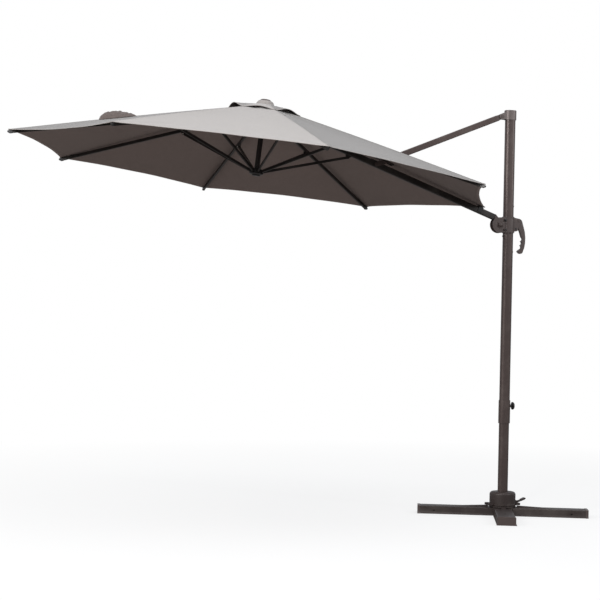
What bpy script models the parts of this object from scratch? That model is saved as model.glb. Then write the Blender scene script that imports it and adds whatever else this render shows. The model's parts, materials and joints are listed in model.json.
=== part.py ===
"""Cantilever parasol: an eight-sided canopy hung from a boom, a slider-held mast and a cross base.

Metres, +Z up. The origin is on the floor under the mast. The boom reaches towards -X.
The upper arm and the boom are of equal reach, so the slider rides straight up and down the mast.
"""

import math

import bmesh
import bpy
from mathutils import Euler, Matrix, Vector

# ---------------------------------------------------------------- driving dimensions
GAP = 0.0004  # between neighbouring pieces

# Canopy, in its own frame: z along the umbrella's axis, x towards the mast
CANOPY_RADIUS = 1.5
CANOPY_SIDES = 8
CANOPY_TILT = math.radians(6.42)
CANOPY_CENTRE = (-1.6554, 0.0, 2.115)
APEX_RISE = 0.375
CLOTH = 0.002
HEM_SCALLOP = 0.032
PANEL_SAG = 0.012
CLOTH_CROWN = 0.028  # the cloth's cone stands this far above the ribs' cone at the axis
CLOTH_BOW = 0.007
VENT_OPENING = 0.17
VENT_RADIUS = 0.25
VENT_APEX = 0.405
VENT_RIM = 0.3437
VENT_LIFT = 0.030  # the vent cloth's hem arches up between its corners
SLIT_LENGTH = 0.180
SLIT_SHIFT = 0.015  # toward the mast, from the arm's bolt
SLIT_WIDTH = 0.066
BOOM_SIDE = 5  # rib position taken by the boom

# Ribs and struts
RIB_WIDTH = 0.012
RIB_HEIGHT = 0.020
RIB_WALL = 0.0015
RIB_DROP = 0.013
HINGE_RADIUS = 0.055
STRUT_REACH = 0.53
STRUT_DROP = 0.022
STRUT_WIDTH = 0.010
STRUT_HEIGHT = 0.016
RUNNER_PIVOT_RADIUS = 0.035
RUNNER_PIVOT_Z = -0.010
RUNNER_SLOT_HALF = STRUT_WIDTH / 2 + 0.0028  # the runner strays sideways at mid-travel
RIB_TIP_LENGTH = 0.030
RIB_CLOSED = math.radians(85.0)  # a rib's slope when the canopy is folded
CENTRE_TUBE_RADIUS = 0.0155
CENTRE_TUBE_WALL = 0.002
FINIAL_RADIUS = 0.050
FINIAL_TOP_RADIUS = 0.031

# Mast
MAST_WIDTH = 0.066
MAST_DEPTH = 0.050
MAST_CORNER = 0.022
MAST_WALL = 0.002
LOWER_POLE_WIDTH = 0.064
LOWER_POLE_DEPTH = 0.048
LOWER_POLE_START = 0.066
MAST_SPLIT_Z = 0.655
SLEEVE_Z = (0.582, 0.728)
SLEEVE_GAP = 0.0004
SLEEVE_WALL = 0.0032
CAP_Z = (2.508, 2.5665)
CAP_WIDTH = 0.076
CAP_DEPTH = 0.060
CAP_TOP = 0.006  # thickness over the mast's end
KNOB_Z = 0.692
KNOB_RADIUS = 0.0245
GUIDE_SCREW_Z = (1.960, 1.670)
STOP_BUTTON_Z = 1.768

# Linkage pivots on the mast side
PIVOT_X = -0.062
ARM_PIVOT_Z = 2.526
SLIDER_PIVOT_Z = 1.840
BOOM_SLOPE = math.radians(20.46)
BOOM_RAISE = 0.031
BOOM_WIDTH = 0.028
BOOM_HEIGHT = 0.038
BOOM_WALL = 0.002
BOOM_END_GAP = 0.060  # from the tube's end to the hub hinge
BOOM_START = 0.050  # from the slider's bolt to the tube
BOOM_STRUT_DROP = BOOM_HEIGHT / 2 + 0.0125  # strut pivot below the boom's centre line
BOOM_TIP_CLIP_X = -0.176  # on the boom, from the slider's bolt
PLUG_GAP = 0.0012  # round a square plug in a tube with round inner corners
ARM_WIDTH = 0.026
ARM_HEIGHT = 0.037
ARM_START = 0.034  # from the cap's pin to the tube
FORK_LENGTH = 0.105  # from the tube to the fork's bolts

# Slider and handle
SLIDER_Z = (1.789, 1.892)
SLIDER_BORE_GAP = 0.0008
SLIDER_WALL = 0.0045
CHEEK_RADIUS = 0.053
CHEEK_INNER = 0.0185
CHEEK_THICK = 0.0045
CHANNEL_HALF = 0.0095
HANDLE_PIVOT = (0.066, 1.868)
HANDLE_THICK = 0.022

# Base
BASE_YAW = math.radians(-20.0)
LEG_REACH = 0.537
LEG_WIDTH = 0.110
LEG_HEIGHT = 0.050
LEG_WALL = 0.003
LEG_START = 0.0603
LEG_CAP = 0.018
HUB_HALF = 0.060
HUB_TOP = 0.0555
LOCK_RING_Z = (HUB_TOP, 0.0615)
LOCK_RING_RADIUS = 0.084
LOCK_HOLE_CIRCLE = 0.066
LOCK_HOLES = 24
LOCK_HOLE_RADIUS = 0.0054
SPINDLE_RADIUS = 0.0195
SPINDLE_TOP = 0.30
TURRET_Z = (0.0645, 0.150)
TURRET_RADIUS = 0.082
PEDAL_PIVOT = (0.0935, 0.0835)

# ---------------------------------------------------------------- collections, materials
for old in list(bpy.data.objects):
    bpy.data.objects.remove(old)

parts = bpy.data.collections.new("cantilever_parasol")
cutters = bpy.data.collections.new("cutters")
frames = bpy.data.collections.new("frames")
for collection in (parts, cutters, frames):
    bpy.context.scene.collection.children.link(collection)


def finish(name, colour, roughness, metallic):
    """A Principled material."""
    made = bpy.data.materials.new(name)
    made.use_nodes = True
    shader = made.node_tree.nodes["Principled BSDF"]
    shader.inputs["Base Color"].default_value = (*colour, 1.0)
    shader.inputs["Roughness"].default_value = roughness
    shader.inputs["Metallic"].default_value = metallic
    return made


BRONZE = finish("bronze_powder_coat", (0.105, 0.085, 0.078), 0.42, 0.35)
FRAME_DARK = finish("dark_frame_paint", (0.035, 0.029, 0.026), 0.45, 0.3)
BASE_PAINT = finish("base_paint", (0.060, 0.048, 0.044), 0.5, 0.25)
PLASTIC = finish("bronze_plastic", (0.085, 0.068, 0.062), 0.5, 0.0)
BLACK = finish("black_plastic", (0.012, 0.012, 0.012), 0.4, 0.0)
STEEL = finish("galvanised_steel", (0.45, 0.45, 0.44), 0.35, 1.0)
FABRIC = finish("canopy_polyester", (0.33, 0.305, 0.29), 0.9, 0.0)

# ---------------------------------------------------------------- building helpers
UP_TO_X = Matrix(((0, 0, 1, 0), (1, 0, 0, 0), (0, 1, 0, 0), (0, 0, 0, 1)))
UP_TO_Y = Matrix(((1, 0, 0, 0), (0, 0, -1, 0), (0, 1, 0, 0), (0, 0, 0, 1)))
UP_TO_MINUS_X = Matrix(((0, 0, -1, 0), (-1, 0, 0, 0), (0, 1, 0, 0), (0, 0, 0, 1)))


def place(thing, parent=None, location=(0, 0, 0), rotation=(0, 0, 0)):
    """The object set in its parent's frame."""
    thing.parent = parent
    thing.location = location
    thing.rotation_euler = Euler(rotation)
    return thing


def empty(name, parent=None, location=(0, 0, 0), rotation=(0, 0, 0)):
    """A frame that pieces are parented to."""
    made = bpy.data.objects.new(name, None)
    frames.objects.link(made)
    return place(made, parent, location, rotation)


def piece(name, mesh, material, parent=None, location=(0, 0, 0), rotation=(0, 0, 0)):
    """A named sub-part."""
    made = bpy.data.objects.new(name, mesh)
    parts.objects.link(made)
    if not mesh.materials:
        mesh.materials.append(material)
    return place(made, parent, location, rotation)


def arc(cx, cy, radius, start, end, steps):
    """Points on an arc, degrees, ends included."""
    angles = [math.radians(start + (end - start) * i / steps) for i in range(steps + 1)]
    return [(cx + radius * math.cos(a), cy + radius * math.sin(a)) for a in angles]


def dome(radius, z, rise):
    """Profile points of a low dome, from its top down to its rim at z."""
    angles = [math.radians(30 * i) for i in range(4)]
    return [(radius * math.sin(a), z + rise * math.cos(a)) for a in angles]


def rounded_rectangle(width, height, corner, steps=4):
    """Outline of a rectangle with round corners, centred."""
    x, y = width / 2 - corner, height / 2 - corner
    points = []
    for cx, cy, start in ((x, y, 0), (-x, y, 90), (-x, -y, 180), (x, -y, 270)):
        points += arc(cx, cy, corner, start, start + 90, steps)
    return points


def rectangle(x0, x1, y0, y1):
    """Outline of a rectangle between four edges."""
    return [(x0, y0), (x1, y0), (x1, y1), (x0, y1)]


def prism(outlines, thickness, turn=Matrix.Identity(4)):
    """Mesh of closed outlines, inner ones as holes, extruded evenly to both sides."""
    curve = bpy.data.curves.new("outline", "CURVE")
    curve.dimensions = "2D"
    curve.fill_mode = "BOTH"
    curve.extrude = thickness / 2
    for outline in outlines:
        spline = curve.splines.new("POLY")
        spline.points.add(len(outline) - 1)
        for point, (x, y) in zip(spline.points, outline):
            point.co = (x, y, 0, 1)
        spline.use_cyclic_u = True
    holder = bpy.data.objects.new("outline", curve)
    bpy.context.scene.collection.objects.link(holder)
    bpy.context.view_layer.update()
    graph = bpy.context.evaluated_depsgraph_get()
    mesh = bpy.data.meshes.new_from_object(holder.evaluated_get(graph))
    bpy.data.objects.remove(holder)
    shape = bmesh.new()
    shape.from_mesh(mesh)
    bmesh.ops.remove_doubles(shape, verts=shape.verts, dist=1e-6)
    bmesh.ops.recalc_face_normals(shape, faces=shape.faces)
    shape.to_mesh(mesh)
    shape.free()
    mesh.transform(turn)
    return mesh


def turned(profile, steps=24, turn=Matrix.Identity(4)):
    """Mesh of a profile of (radius, z), outer side running top to bottom, turned about z."""
    shape = bmesh.new()
    corners = [shape.verts.new((radius, 0, z)) for radius, z in profile]
    for first, second in zip(corners, corners[1:]):
        shape.edges.new((first, second))
    mesh = bpy.data.meshes.new("profile")
    shape.to_mesh(mesh)
    shape.free()
    holder = bpy.data.objects.new("profile", mesh)
    bpy.context.scene.collection.objects.link(holder)
    screw = holder.modifiers.new("Screw", "SCREW")
    screw.axis = "Z"
    screw.steps = steps
    screw.render_steps = steps
    screw.use_merge_vertices = True
    screw.merge_threshold = 0.00001
    result = evaluated(holder)
    shape = bmesh.new()
    shape.from_mesh(result)
    bmesh.ops.remove_doubles(shape, verts=shape.verts, dist=1e-6)
    bmesh.ops.recalc_face_normals(shape, faces=shape.faces)
    shape.to_mesh(result)
    shape.free()
    result.transform(turn)
    result.shade_smooth()
    result.set_sharp_from_angle(angle=math.radians(35))
    return result


def evaluated(holder):
    """Mesh of an object with its modifiers, the object itself removed."""
    bpy.context.view_layer.update()
    graph = bpy.context.evaluated_depsgraph_get()
    result = bpy.data.meshes.new_from_object(holder.evaluated_get(graph))
    bpy.data.objects.remove(holder)
    return result


def block(low, high):
    """Mesh of a box between two corners."""
    size = Vector(high) - Vector(low)
    centre = (Vector(high) + Vector(low)) / 2
    shape = bmesh.new()
    place_it = Matrix.Translation(centre) @ Matrix.Diagonal((*size, 1))
    bmesh.ops.create_cube(shape, size=1.0, matrix=place_it)
    mesh = bpy.data.meshes.new("block")
    shape.to_mesh(mesh)
    shape.free()
    return mesh


def rod(radius, start, end, steps=20):
    """Mesh of a cylinder between two points."""
    start, end = Vector(start), Vector(end)
    turn = (end - start).to_track_quat("Z", "Y").to_matrix().to_4x4()
    shape = bmesh.new()
    bmesh.ops.create_cone(
        shape,
        cap_ends=True,
        segments=steps,
        radius1=radius,
        radius2=radius,
        depth=(end - start).length,
        matrix=Matrix.Translation((start + end) / 2) @ turn,
    )
    mesh = bpy.data.meshes.new("rod")
    shape.to_mesh(mesh)
    shape.free()
    return mesh


def combine(mesh, operation, tools):
    """The mesh joined with, or cut by, each tool mesh."""
    holder = bpy.data.objects.new("base", mesh)
    bpy.context.scene.collection.objects.link(holder)
    helpers = []
    for tool in tools:
        helper = bpy.data.objects.new("tool", tool)
        cutters.objects.link(helper)
        helper.hide_render = True
        helper.display_type = "WIRE"
        helpers.append(helper)
        boolean = holder.modifiers.new("Boolean", "BOOLEAN")
        boolean.operation = operation
        boolean.solver = "EXACT"
        boolean.object = helper
    result = evaluated(holder)
    for helper in helpers:
        bpy.data.objects.remove(helper)
    return result


def shifted(mesh, offset):
    """The mesh moved by an offset."""
    mesh.transform(Matrix.Translation(offset))
    return mesh


def tube(outer, inner, low, high, turn=Matrix.Identity(4)):
    """Mesh of a hollow section from low to high along z before the turn."""
    mesh = shifted(prism([outer, inner], high - low), (0, 0, (low + high) / 2))
    mesh.transform(turn)
    return mesh


# ---------------------------------------------------------------- frames and worked-out places
rib_slope = math.atan2(APEX_RISE, CANOPY_RADIUS)
hinge_z = APEX_RISE - HINGE_RADIUS * math.tan(rib_slope) - RIB_DROP / math.cos(rib_slope)
rib_length = (CANOPY_RADIUS - HINGE_RADIUS) / math.cos(rib_slope) - 0.022

arm_reach_z = (ARM_PIVOT_Z - SLIDER_PIVOT_Z) / 2
joint_z = SLIDER_PIVOT_Z + arm_reach_z
# The joint lies on the boom's centre line, where that line passes halfway between the two pivots.
joint_along = (arm_reach_z - BOOM_RAISE * math.cos(BOOM_SLOPE)) / math.sin(BOOM_SLOPE)
joint_x = PIVOT_X + BOOM_RAISE * math.sin(BOOM_SLOPE) - joint_along * math.cos(BOOM_SLOPE)
arm_length = math.hypot(PIVOT_X - joint_x, arm_reach_z)
arm_slope = math.asin(arm_reach_z / arm_length)

base_frame = empty("base_frame", rotation=(0, 0, BASE_YAW))
mast_frame = empty("mast_frame")
slider_frame = empty("slider_frame", mast_frame)
boom_frame = empty("boom_frame", mast_frame, (PIVOT_X, 0, SLIDER_PIVOT_Z), (0, BOOM_SLOPE, 0))
arm_frame = empty("arm_frame", mast_frame, (PIVOT_X, 0, ARM_PIVOT_Z), (0, -arm_slope, 0))
canopy_frame = empty("canopy_frame", mast_frame, CANOPY_CENTRE, (0, CANOPY_TILT, 0))
bpy.context.view_layer.update()

hub_hinge = canopy_frame.matrix_world @ Vector((HINGE_RADIUS, 0, hinge_z))
hub_hinge_on_boom = boom_frame.matrix_world.inverted() @ hub_hinge


def side_azimuth(number):
    """Direction of a rib position about the canopy's axis; the boom's is zero."""
    return 2 * math.pi * (BOOM_SIDE - number) / CANOPY_SIDES


RIB_NUMBERS = [n for n in range(1, CANOPY_SIDES + 1) if n != BOOM_SIDE]


# ---------------------------------------------------------------- base
def make_base_hub():
    """Centre block with four tongues for the legs, the lock ring and the swivel spindle."""
    reach, half = 0.112, LEG_WIDTH / 2 - LEG_WALL - 0.0015
    cross = [
        (reach, -half), (reach, half), (half, half), (half, reach), (-half, reach), (-half, half),
        (-reach, half), (-reach, -half), (-half, -half), (-half, -reach), (half, -reach), (half, -half),
    ]
    tongue_top = LEG_HEIGHT - LEG_WALL - 0.0008
    mesh = shifted(prism([cross], tongue_top - 0.001), (0, 0, tongue_top / 2))
    square = rounded_rectangle(2 * HUB_HALF, 2 * HUB_HALF, 0.003, 2)
    plate = shifted(prism([square], HUB_TOP), (0, 0, HUB_TOP / 2))
    ring_low, ring_high = LOCK_RING_Z[0] - 0.002, LOCK_RING_Z[1]
    ring = rod(LOCK_RING_RADIUS, (0, 0, ring_low), (0, 0, ring_high), 32)
    spindle = rod(SPINDLE_RADIUS, (0, 0, ring_high - 0.001), (0, 0, SPINDLE_TOP))
    mesh = combine(mesh, "UNION", [plate, ring, spindle])
    holes = []
    for i in range(LOCK_HOLES):
        angle = 2 * math.pi * i / LOCK_HOLES - BASE_YAW
        x, y = LOCK_HOLE_CIRCLE * math.cos(angle), LOCK_HOLE_CIRCLE * math.sin(angle)
        holes.append(rod(LOCK_HOLE_RADIUS, (x, y, HUB_TOP - 0.003), (x, y, 0.08), 8))
    return combine(mesh, "DIFFERENCE", holes)


def make_leg():
    """Folded channel along x, open below, with flared lips, a pressed ridge and bolt holes."""
    half = LEG_WIDTH / 2
    foot, lip, lip_low, lip_high, edge = 0.0006, 0.005, 0.0030, 0.0125, 0.004
    section = [
        (-half - lip, foot), (-half + LEG_WALL, foot), (-half + LEG_WALL, LEG_HEIGHT - LEG_WALL),
        (half - LEG_WALL, LEG_HEIGHT - LEG_WALL), (half - LEG_WALL, foot), (half + lip, foot),
        (half + lip, lip_low), (half, lip_high), (half, LEG_HEIGHT - edge),
        (half - edge, LEG_HEIGHT), (-half + edge, LEG_HEIGHT), (-half, LEG_HEIGHT - edge),
        (-half, lip_high), (-half - lip, lip_low),
    ]
    length = LEG_REACH - LEG_CAP - LEG_START
    mesh = shifted(prism([section], length, UP_TO_X), (LEG_START + length / 2, 0, 0))
    ridge_start, ridge_end = LEG_START + 0.03, LEG_START + 0.62 * length
    near, far, rise = 0.012, 0.020, 0.0125
    ridge = prism([[(ridge_start, 0), (ridge_end, 0), (ridge_start, rise)]], 0.1, UP_TO_Y)
    taper = prism([[(ridge_start, -near), (ridge_end, -far), (ridge_end, far), (ridge_start, near)]], 0.1)
    ridge = shifted(combine(ridge, "INTERSECT", [taper]), (0, 0, LEG_HEIGHT - 0.0008))
    mesh = combine(mesh, "UNION", [ridge])
    hole_x, side_x = ridge_end + 0.022, LEG_REACH - 0.105
    top_hole = rod(0.0055, (hole_x, 0, LEG_HEIGHT - 0.01), (hole_x, 0, LEG_HEIGHT + 0.01), 12)
    side_hole = rod(0.0045, (side_x, -0.1, 0.022), (side_x, 0.1, 0.022), 12)
    return combine(mesh, "DIFFERENCE", [top_hole, side_hole])


def make_leg_cap():
    """Plug for a leg's end, standing slightly proud of the channel."""
    half, start = LEG_WIDTH / 2, LEG_REACH - LEG_CAP + GAP
    low, low_top, side, side_start, edge = half + 0.006, 0.004, half + 0.0012, 0.0135, 0.003
    plate = [
        (-low, 0), (low, 0), (low, low_top), (side, side_start), (side, LEG_HEIGHT - edge),
        (half - edge, LEG_HEIGHT + 0.0015), (-half + edge, LEG_HEIGHT + 0.0015),
        (-side, LEG_HEIGHT - edge), (-side, side_start), (-low, low_top),
    ]
    cap = shifted(prism([plate], LEG_CAP - GAP, UP_TO_X), (start + (LEG_CAP - GAP) / 2, 0, 0))
    fit = LEG_WALL + 0.0006
    plug = block((start - 0.022, fit - half, 0.004), (start + 0.002, half - fit, LEG_HEIGHT - fit))
    return combine(cap, "UNION", [plug])


def build_base():
    """Hub with four legs and their end caps."""
    piece("base_hub", make_base_hub(), BASE_PAINT, base_frame)
    leg, cap = make_leg(), make_leg_cap()
    for i in range(4):
        turn = (0, 0, i * math.pi / 2)
        piece(f"leg_{i + 1}", leg, BASE_PAINT, base_frame, rotation=turn)
        piece(f"leg_cap_{i + 1}", cap, PLASTIC, base_frame, rotation=turn)


# ---------------------------------------------------------------- mast
def mast_section(width, depth, grow=0.0, steps=5):
    """Outline of a pole with rounded sides, grown outwards."""
    corner = min(MAST_CORNER, depth / 2 - 0.002) + grow
    return rounded_rectangle(width + 2 * grow, depth + 2 * grow, corner, steps)


def make_turret_cover():
    """Round cover over the swivel with two bolt lugs and the pedal's hinge ears."""
    low, high = TURRET_Z
    outer, inner = TURRET_RADIUS, 0.0342
    round_off = 0.018
    shoulder = arc(outer - round_off, high - round_off, round_off, 90, 0, 4)
    profile = [(inner, high)] + shoulder + [(outer, low + 0.012), (outer + 0.003, low + 0.010)]
    profile += [(outer + 0.003, low), (outer - 0.005, low), (outer - 0.005, high - 0.022)]
    profile += [(outer - 0.022, high - 0.005), (inner, high - 0.005), (inner, high)]
    mesh = turned(profile, 32)
    lugs = []
    for side in (1, -1):
        for y in (-0.026, 0.026):
            lug = prism([rectangle(-0.013, 0.013, -0.011, 0.011)], 0.014)
            lugs.append(shifted(lug, (side * (outer + 0.011), y, low + 0.007)))
    for y in (-0.0135, 0.0135):
        ear = prism([rectangle(outer - 0.003, PEDAL_PIVOT[0] + 0.007, low, low + 0.027)], 0.004, UP_TO_Y)
        lugs.append(shifted(ear, (0, y, 0)))
    mesh = combine(mesh, "UNION", lugs)
    mouth = block((outer - 0.010, -0.0105, low - 0.01), (outer + 0.006, 0.0105, low + 0.030))
    x, z = PEDAL_PIVOT
    pin_hole = rod(0.0033, (x, -0.03, z), (x, 0.03, z), 12)
    return combine(mesh, "DIFFERENCE", [mouth, pin_hole])


def make_pedal():
    """Foot lever with its pin, a nose over the lock pin and a tread turned up at the end."""
    x, z = PEDAL_PIVOT
    side = [
        (-0.026, -0.004), (-0.004, -0.007), (0.006, -0.006), (0.030, 0.004), (0.052, 0.014),
        (0.060, 0.021), (0.057, 0.025), (0.046, 0.021), (0.024, 0.011), (0.004, 0.006), (-0.006, 0.004),
        (-0.026, 0.001),
    ]
    lever = prism([side], 0.019, UP_TO_Y)
    tread = prism([[(0.030, -0.0135), (0.060, -0.0175), (0.060, 0.0175), (0.030, 0.0135)]], 0.1)
    thick = [(0.026, 0.003), (0.052, 0.0135), (0.060, 0.0205)]
    thick += [(0.057, 0.0255), (0.045, 0.0215), (0.024, 0.012)]
    pad = combine(prism([thick], 0.04, UP_TO_Y), "INTERSECT", [tread])
    pin = rod(0.0028, (0, -0.0165, 0), (0, 0.0165, 0), 12)
    return shifted(combine(lever, "UNION", [pad, pin]), (x, 0, z))


def make_knob():
    """Mushroom knob with a threaded stud, along x."""
    face = MAST_WIDTH / 2 + SLEEVE_GAP + SLEEVE_WALL + 0.001
    top = face + 0.029
    radius, stud = KNOB_RADIUS, 0.004
    profile = dome(radius, top - 0.009, 0.009)
    profile += [(radius, top - 0.014), (0.020, top - 0.0165), (0.009, top - 0.018), (0.0075, face)]
    profile += [(stud, face), (stud, MAST_WIDTH / 2 + 0.0006), (0, MAST_WIDTH / 2 + 0.0006)]
    return turned(profile, 16, UP_TO_X)


def make_sleeve():
    """Collar that joins the two poles."""
    outer = mast_section(MAST_WIDTH, MAST_DEPTH, SLEEVE_GAP + SLEEVE_WALL)
    mesh = tube(outer, mast_section(MAST_WIDTH, MAST_DEPTH, SLEEVE_GAP), *SLEEVE_Z)
    hole = rod(0.0047, (0.02, 0, KNOB_Z), (0.06, 0, KNOB_Z), 16)
    return combine(mesh, "DIFFERENCE", [hole])


def make_mast_cap():
    """Cap on the mast with two ears that hold the upper arm."""
    low, high = CAP_Z
    body = rounded_rectangle(CAP_WIDTH, CAP_DEPTH, 0.027, 6)
    mesh = shifted(prism([body], high - low), (0, 0, (low + high) / 2))
    step = rounded_rectangle(CAP_WIDTH - 0.004, CAP_DEPTH - 0.004, 0.025, 6)
    top_step = shifted(prism([step], 0.003), (0, 0, high + 0.0008))
    ears = []
    for y in (-0.0165, 0.0165):
        outline = arc(PIVOT_X, ARM_PIVOT_Z, 0.017, 110, 290, 8)
        outline += [(-0.020, low + 0.001), (-0.020, high - 0.004)]
        ears.append(shifted(prism([outline], 0.007, UP_TO_Y), (0, y, 0)))
    mesh = combine(mesh, "UNION", [top_step] + ears)
    pocket = shifted(prism([mast_section(MAST_WIDTH, MAST_DEPTH, GAP)], 0.06), (0, 0, high - CAP_TOP - 0.03))
    throat = block((PIVOT_X - 0.03, -0.0128, low - 0.01), (-CAP_WIDTH / 2 - 0.0005, 0.0128, high + 0.01))
    pin_hole = rod(0.0052, (PIVOT_X, -0.04, ARM_PIVOT_Z), (PIVOT_X, 0.04, ARM_PIVOT_Z), 16)
    return combine(mesh, "DIFFERENCE", [pocket, throat, pin_hole])


def make_upper_pole():
    """Main mast tube with a hole for the stop button."""
    wall = mast_section(MAST_WIDTH, MAST_DEPTH, -MAST_WALL)
    mesh = tube(mast_section(MAST_WIDTH, MAST_DEPTH), wall, MAST_SPLIT_Z + GAP, CAP_Z[1] - CAP_TOP - 0.0005)
    hole = rod(0.0070, (-0.05, 0, STOP_BUTTON_Z), (-0.02, 0, STOP_BUTTON_Z), 16)
    return combine(mesh, "DIFFERENCE", [hole])


def make_stop_button():
    """Sprung button that the slider rests on: round nose along -x, flange inside the tube."""
    nose, flange, face = 0.0062, 0.0080, MAST_WIDTH / 2
    profile = dome(nose, face + 0.0002, nose)
    profile += [(nose, face - MAST_WALL - 0.0014), (flange, face - MAST_WALL - 0.0014)]
    profile += [(flange, face - 0.006), (0, face - 0.006)]
    return turned(profile, 12, UP_TO_MINUS_X)


def make_guide_screw():
    """Button-head screw on the mast's far face, along x from the tube's surface."""
    return turned(dome(0.0062, 0.0005, 0.0042) + [(0, 0.0005)], 12, UP_TO_X)


def make_lock_pin():
    """Pin under the pedal's nose that drops in a hole of the lock ring."""
    low, high = HUB_TOP - 0.0008, PEDAL_PIVOT[1] - 0.0062
    profile = [(0, high), (0.0062, high), (0.0062, high - 0.003), (0.0045, high - 0.003)]
    profile += [(0.0045, low + 0.001), (0.0035, low), (0, low)]
    return turned(profile, 16)


def make_lower_pole():
    """Lower tube, round the spindle and into the collar."""
    outer = mast_section(LOWER_POLE_WIDTH, LOWER_POLE_DEPTH)
    inner = mast_section(LOWER_POLE_WIDTH, LOWER_POLE_DEPTH, -MAST_WALL)
    return tube(outer, inner, LOWER_POLE_START, MAST_SPLIT_Z)


def build_mast():
    """Everything that swivels with the mast, and the small parts on it."""
    piece("turret_cover", make_turret_cover(), BASE_PAINT, mast_frame)
    piece("lower_pole", make_lower_pole(), BRONZE, mast_frame)
    piece("sleeve", make_sleeve(), BRONZE, mast_frame)
    piece("upper_pole", make_upper_pole(), BRONZE, mast_frame)
    piece("mast_cap", make_mast_cap(), PLASTIC, mast_frame)
    screw = make_guide_screw()
    for name, z in zip(("guide_screw_upper", "guide_screw_lower"), GUIDE_SCREW_Z):
        piece(name, screw, BRONZE, mast_frame, (MAST_WIDTH / 2, 0, z))
    piece("stop_button", make_stop_button(), BLACK, mast_frame, (0, 0, STOP_BUTTON_Z))
    piece("knob", make_knob(), BLACK, mast_frame, (0, 0, KNOB_Z))
    piece("pedal", make_pedal(), BASE_PAINT, mast_frame)
    piece("lock_pin", make_lock_pin(), STEEL, mast_frame, (LOCK_HOLE_CIRCLE, 0, 0))


# ---------------------------------------------------------------- slider, handle
def make_slider_body():
    """Carriage round the mast: an open collar, two cheeks for the boom and two for the handle."""
    low, high = SLIDER_Z
    bore = mast_section(MAST_WIDTH, MAST_DEPTH, SLIDER_BORE_GAP)
    outer = mast_section(MAST_WIDTH, MAST_DEPTH, SLIDER_BORE_GAP + SLIDER_WALL)
    mesh = shifted(prism([outer], high - low), (0, 0, (low + high) / 2))
    extra = []
    x, z = HANDLE_PIVOT
    for sign in (-1, 1):
        y = sign * (CHEEK_INNER + CHEEK_THICK / 2)
        rim = arc(PIVOT_X, SLIDER_PIVOT_Z, CHEEK_RADIUS, 125, 285, 14)
        cheek = rim + [(-0.030, low + 0.004), (-0.030, high - 0.004)]
        extra.append(shifted(prism([cheek], CHEEK_THICK, UP_TO_Y), (0, y, 0)))
        ear = [(0.030, low + 0.008), (0.058, low + 0.014)] + arc(x, z - 0.012, 0.014, -60, 0, 3)
        ear += arc(x, z, 0.014, 0, 90, 5) + [(0.030, high - 0.004)]
        extra.append(shifted(prism([ear], 0.005, UP_TO_Y), (0, sign * 0.0145, 0)))
        screw_z = low + 0.020
        extra.append(rod(0.0085, (-0.030, sign * 0.020, screw_z), (-0.030, sign * 0.0325, screw_z), 12))
    extra.append(rod(0.0035, (x, -0.020, z), (x, 0.020, z), 12))
    extra.append(rod(0.0060, (x, -0.0205, z), (x, -0.0165, z), 12))
    extra.append(rod(0.0060, (x, 0.0165, z), (x, 0.0205, z), 12))
    mesh = combine(mesh, "UNION", extra)
    hollow = shifted(prism([bore], 0.2), (0, 0, (low + high) / 2))
    front_channel = block((-0.045, -CHANNEL_HALF, low - 0.01), (0, CHANNEL_HALF, high + 0.01))
    screw_channel = block((0, -0.008, low - 0.01), (MAST_WIDTH / 2 + 0.0058, 0.008, high + 0.01))
    shoe_window = block((0.02, -0.0115, z - 0.034), (0.05, 0.0115, z - 0.004))
    bolt_hole = rod(0.0068, (PIVOT_X, -0.06, SLIDER_PIVOT_Z), (PIVOT_X, 0.06, SLIDER_PIVOT_Z), 20)
    return combine(mesh, "DIFFERENCE", [hollow, front_channel, screw_channel, shoe_window, bolt_hole])


def make_pivot_bolt():
    """Large bolt through the cheeks with a domed head at each end, along y."""
    face, head, shank = CHEEK_INNER + CHEEK_THICK + GAP, 0.0165, 0.0062
    half = dome(head, face + 0.003, 0.0035) + [(head, face), (shank, face)]
    profile = half + [(radius, -z) for radius, z in reversed(half)]
    return turned(profile, 16, UP_TO_Y)


def make_handle():
    """Curved pull lever with finger grips on the mast side, hinged at its top."""
    x, z = HANDLE_PIVOT
    outer = arc(0.002, -0.012, 0.026, 88, 20, 5)
    outer += [(0.036, -0.035), (0.046, -0.070), (0.050, -0.105)]
    outer += [(0.049, -0.140), (0.044, -0.170), (0.036, -0.190)]
    outer += arc(0.018, -0.192, 0.017, -20, -150, 6)
    outer += [(-0.004, -0.196), (0.002, -0.188), (0.010, -0.182)]
    grips = []
    for i in range(3):
        middle = -0.167 + 0.026 * i
        grips += arc(0.011 + 0.0035 * i, middle, 0.0125, -62, 62, 4)
    inner = grips + [(0.020, -0.094), (0.013, -0.072), (0.004, -0.052)]
    inner += [(-0.004, -0.040), (-0.010, -0.024), (-0.0125, -0.005)]
    inner += arc(0, 0, 0.0125, 180, 110, 3)
    mesh = prism([outer + inner], HANDLE_THICK, UP_TO_Y)
    hole = rod(0.0041, (0, -0.03, 0), (0, 0.03, 0), 16)
    return shifted(combine(mesh, "DIFFERENCE", [hole]), (x, 0, z))


def make_brake_shoe():
    """Fork-shaped friction shoe in the slider's window, pulled off the mast by the handle."""
    low, notch, high = MAST_WIDTH / 2 + GAP, 0.0410, 0.0478
    half, inner = 0.0110, 0.0078
    outline = [(low, -half), (high, -half), (high, half), (low, half)]
    outline += [(low, inner), (notch, inner), (notch, -inner), (low, -inner)]
    return shifted(prism([outline], 0.028), (0, 0, HANDLE_PIVOT[1] - 0.019))


def build_slider():
    """Carriage, its bolt, the handle and the shoe that the handle pulls."""
    piece("slider_body", make_slider_body(), PLASTIC, slider_frame)
    piece("pivot_bolt", make_pivot_bolt(), PLASTIC, slider_frame, (PIVOT_X, 0, SLIDER_PIVOT_Z))
    piece("handle", make_handle(), PLASTIC, slider_frame)
    piece("brake_shoe", make_brake_shoe(), BLACK, slider_frame)


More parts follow.
